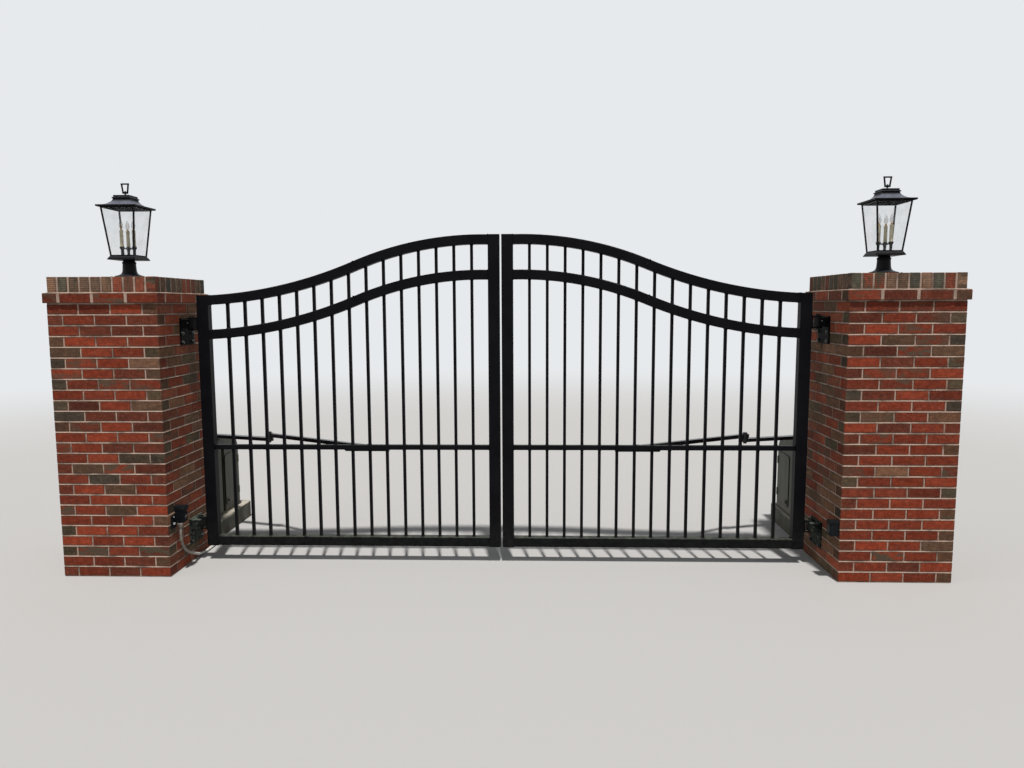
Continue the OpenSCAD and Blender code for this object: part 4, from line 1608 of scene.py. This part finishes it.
    def fit_roof(self, height):
        """A roof that sweeps up from a flat brim to a lipped cap, with an open loop on a knob."""
        sweep = squared("roof", [
            (130, 0), (132, 1.5), (132, 9.5), (130, 11), (116, 12.6), (104, 14.5), (96, 16.7),
            (88, 20), (80, 24.8), (73.5, 29.5), (68, 34.2), (64, 38.4), (60.5, 43), (58.2, 47.5),
            (56.5, 52.5), (55.5, 58.5),
        ])
        lip = squared("lip", [(56, 57.2), (60.5, 59.5), (60.5, 65.2), (59, 66.6)])
        cap = squared("cap", [(53.5, 65.5), (53.5, 78.5), (52, 80), (18, 83.5)])
        knob = turned("knob", [(9.5, 82), (9.5, 85), (5.8, 88), (5.8, 94.5)], 20)
        nut = turned("nut", [(6.2, 105), (6.2, 109.5), (3, 112.5)], 12)
        thick, edge = 0.0032, 0.0014
        bars = [
            add_block("foot", (-0.0195, -thick, 0.0940), (0.0195, thick, 0.1060), edge),
            add_block("head", (-0.0278, -thick, height - 0.0095), (0.0278, thick, height), edge),
        ]
        for way in (-1, 1):
            arm = add_block("arm", (-0.005, -thick, 0.098), (0.005, thick, height - 0.003), edge)
            # The arms lean outwards, and stay level with the head and the foot
            lean = Matrix.Identity(4)
            lean[0][2] = 0.1324 * way
            lean[0][3] = 0.0148 * way - 0.1 * lean[0][2]
            arm.data.transform(lean)
            bars.append(arm)
        self.fit("lantern_top", [sweep, lip, cap, knob, nut, *bars], "lantern_black", "lantern_roof")
        # A thin dark sheet under the brim: painted shade for the roof's underside
        soffit = squared("soffit", [(128.5, -1.2), (128.5, 0.4)])
        self.fit("lantern_soffit", [soffit], "soffit_black")


# Camera, floor and lamps

BACKDROP = (0.80, 0.82, 0.84, 1.0)
FLOOR = (0.335, 0.33, 0.325)
FLOOR_RADIUS = 90
SKY = (0.93, 0.96, 1.0, 1.0)
SUNLIGHT = (1.0, 0.975, 0.94)
# The camera's turns in degrees: down, to the left and clockwise
CAMERA_TURNS = (5.98, 1.845, 0.2175)


class GATE_OT_stage(bpy.types.Operator):
    """Sets the camera at the photograph's angle over a pale floor, with soft light"""

    bl_idname = "gate.stage"
    bl_label = "Stage"

    def execute(self, context):
        scene = context.scene
        self.add_camera(scene)
        self.add_floor()
        self.add_sky(scene)
        self.add_lamp(scene, "key", 5.0, 3, (20, 10))
        self.add_lamp(scene, "fill", 0.3, 40, (65, -70))
        scene.view_settings.view_transform = "Standard"
        return {"FINISHED"}

    def add_camera(self, scene):
        s = scene.gate_stage
        down, left, tilt = (math.radians(turn) for turn in CAMERA_TURNS)
        data = bpy.data.cameras.new("camera")
        data.lens = s.lens
        data.sensor_width = 36
        camera = bpy.data.objects.new("camera", data)
        scene.collection.objects.link(camera)
        camera.location = (s.camera_side, PIER_FRONT - s.camera_distance, s.camera_height)
        look = Euler((math.pi / 2 - down, 0, left)).to_matrix() @ Matrix.Rotation(-tilt, 3, "Z")
        camera.rotation_euler = look.to_euler()
        scene.camera = camera

    def add_floor(self):
        """A pale floor that fades into the backdrop's colour far from the gate."""
        deselect()
        bpy.ops.mesh.primitive_circle_add(
            vertices=96, radius=FLOOR_RADIUS, location=(0, 0, -0.0015), fill_type="NGON"
        )
        floor = settle(bpy.context.object, "floor")
        f = Finish("floor")
        f.set(Base_Color=FLOOR, Roughness=0.9, Specular_IOR_Level=0.1)
        away = f.node("ShaderNodeVectorMath", {"operation": "LENGTH"}, {0: f.place()}, output=1)
        glow = f.node("ShaderNodeEmission", None, {"Color": BACKDROP, "Strength": 1.0})
        ends = {0: away.ramp(5.0, 16.0), 1: Wire(f, f.shader.outputs[0]), 2: glow}
        mixed = f.node("ShaderNodeMixShader", None, ends)
        f.feed(f.tree.nodes["Material Output"].inputs["Surface"], mixed)
        floor.data.materials.append(f.material)

    def add_sky(self, scene):
        """Soft light from a pale sky, with the backdrop's colour where the camera sees it."""
        world = bpy.data.worlds.new("studio")
        world.use_nodes = True
        tree = world.node_tree
        sky = tree.nodes["Background"]
        sky.inputs["Color"].default_value = SKY
        sky.inputs["Strength"].default_value = 0.40
        backdrop = tree.nodes.new("ShaderNodeBackground")
        backdrop.inputs["Color"].default_value = BACKDROP
        rays = tree.nodes.new("ShaderNodeLightPath").outputs
        share = rays["Is Camera Ray"]
        for ray in ("Is Glossy Ray", "Is Transmission Ray"):
            either = tree.nodes.new("ShaderNodeMath")
            either.operation = "MAXIMUM"
            tree.links.new(share, either.inputs[0])
            tree.links.new(rays[ray], either.inputs[1])
            share = either.outputs[0]
        choice = tree.nodes.new("ShaderNodeMixShader")
        for number, source in enumerate((share, sky.outputs[0], backdrop.outputs[0])):
            tree.links.new(source, choice.inputs[number])
        tree.links.new(choice.outputs[0], tree.nodes["World Output"].inputs["Surface"])
        scene.world = world

    def add_lamp(self, scene, name, energy, width, aim):
        """A far lamp, aimed by its tilt from overhead and its turn round the gate."""
        lamp = bpy.data.lights.new(name, "SUN")
        lamp.energy = energy
        lamp.angle = math.radians(width)
        lamp.color = SUNLIGHT
        holder = bpy.data.objects.new(name, lamp)
        tilt, turn = aim
        holder.rotation_euler = Euler((math.radians(tilt), 0, math.radians(turn)))
        scene.collection.objects.link(holder)


class GATE_PT_panel(bpy.types.Panel):
    """Lists the steps and settings in the sidebar"""

    bl_idname = "GATE_PT_panel"
    bl_label = "Driveway gate"
    bl_space_type = "VIEW_3D"
    bl_region_type = "UI"
    bl_category = "Gate"

    def draw(self, context):
        for step in STEPS:
            self.layout.operator(step.bl_idname)
        for name, group in SETTINGS.items():
            for prop in group.__annotations__:
                self.layout.prop(getattr(context.scene, name), prop)


# The order in which the pieces are made: the stage and the cord come first
STEPS = (
    GATE_OT_stage,
    GATE_OT_conduit,
    GATE_OT_coat_nodes,
    GATE_OT_brickwork,
    GATE_OT_hinge_fittings,
    GATE_OT_leaf_welds,
    GATE_OT_arm_fittings,
    GATE_OT_housing_fittings,
    GATE_OT_pads,
    GATE_OT_beam_fittings,
    GATE_OT_lantern_fittings,
)
CLASSES = (*SETTINGS.values(), *STEPS, GATE_PT_panel)


def register():
    for cls in CLASSES:
        bpy.utils.register_class(cls)
    for name, group in SETTINGS.items():
        setattr(bpy.types.Scene, name, PointerProperty(type=group))


def unregister():
    for name in SETTINGS:
        delattr(bpy.types.Scene, name)
    for cls in reversed(CLASSES):
        bpy.utils.unregister_class(cls)


def main():
    """Makes everything in order."""
    register()
    for step in STEPS:
        group, name = step.bl_idname.split(".")
        getattr(getattr(bpy.ops, group), name)()


if __name__ == "__main__":
    main()
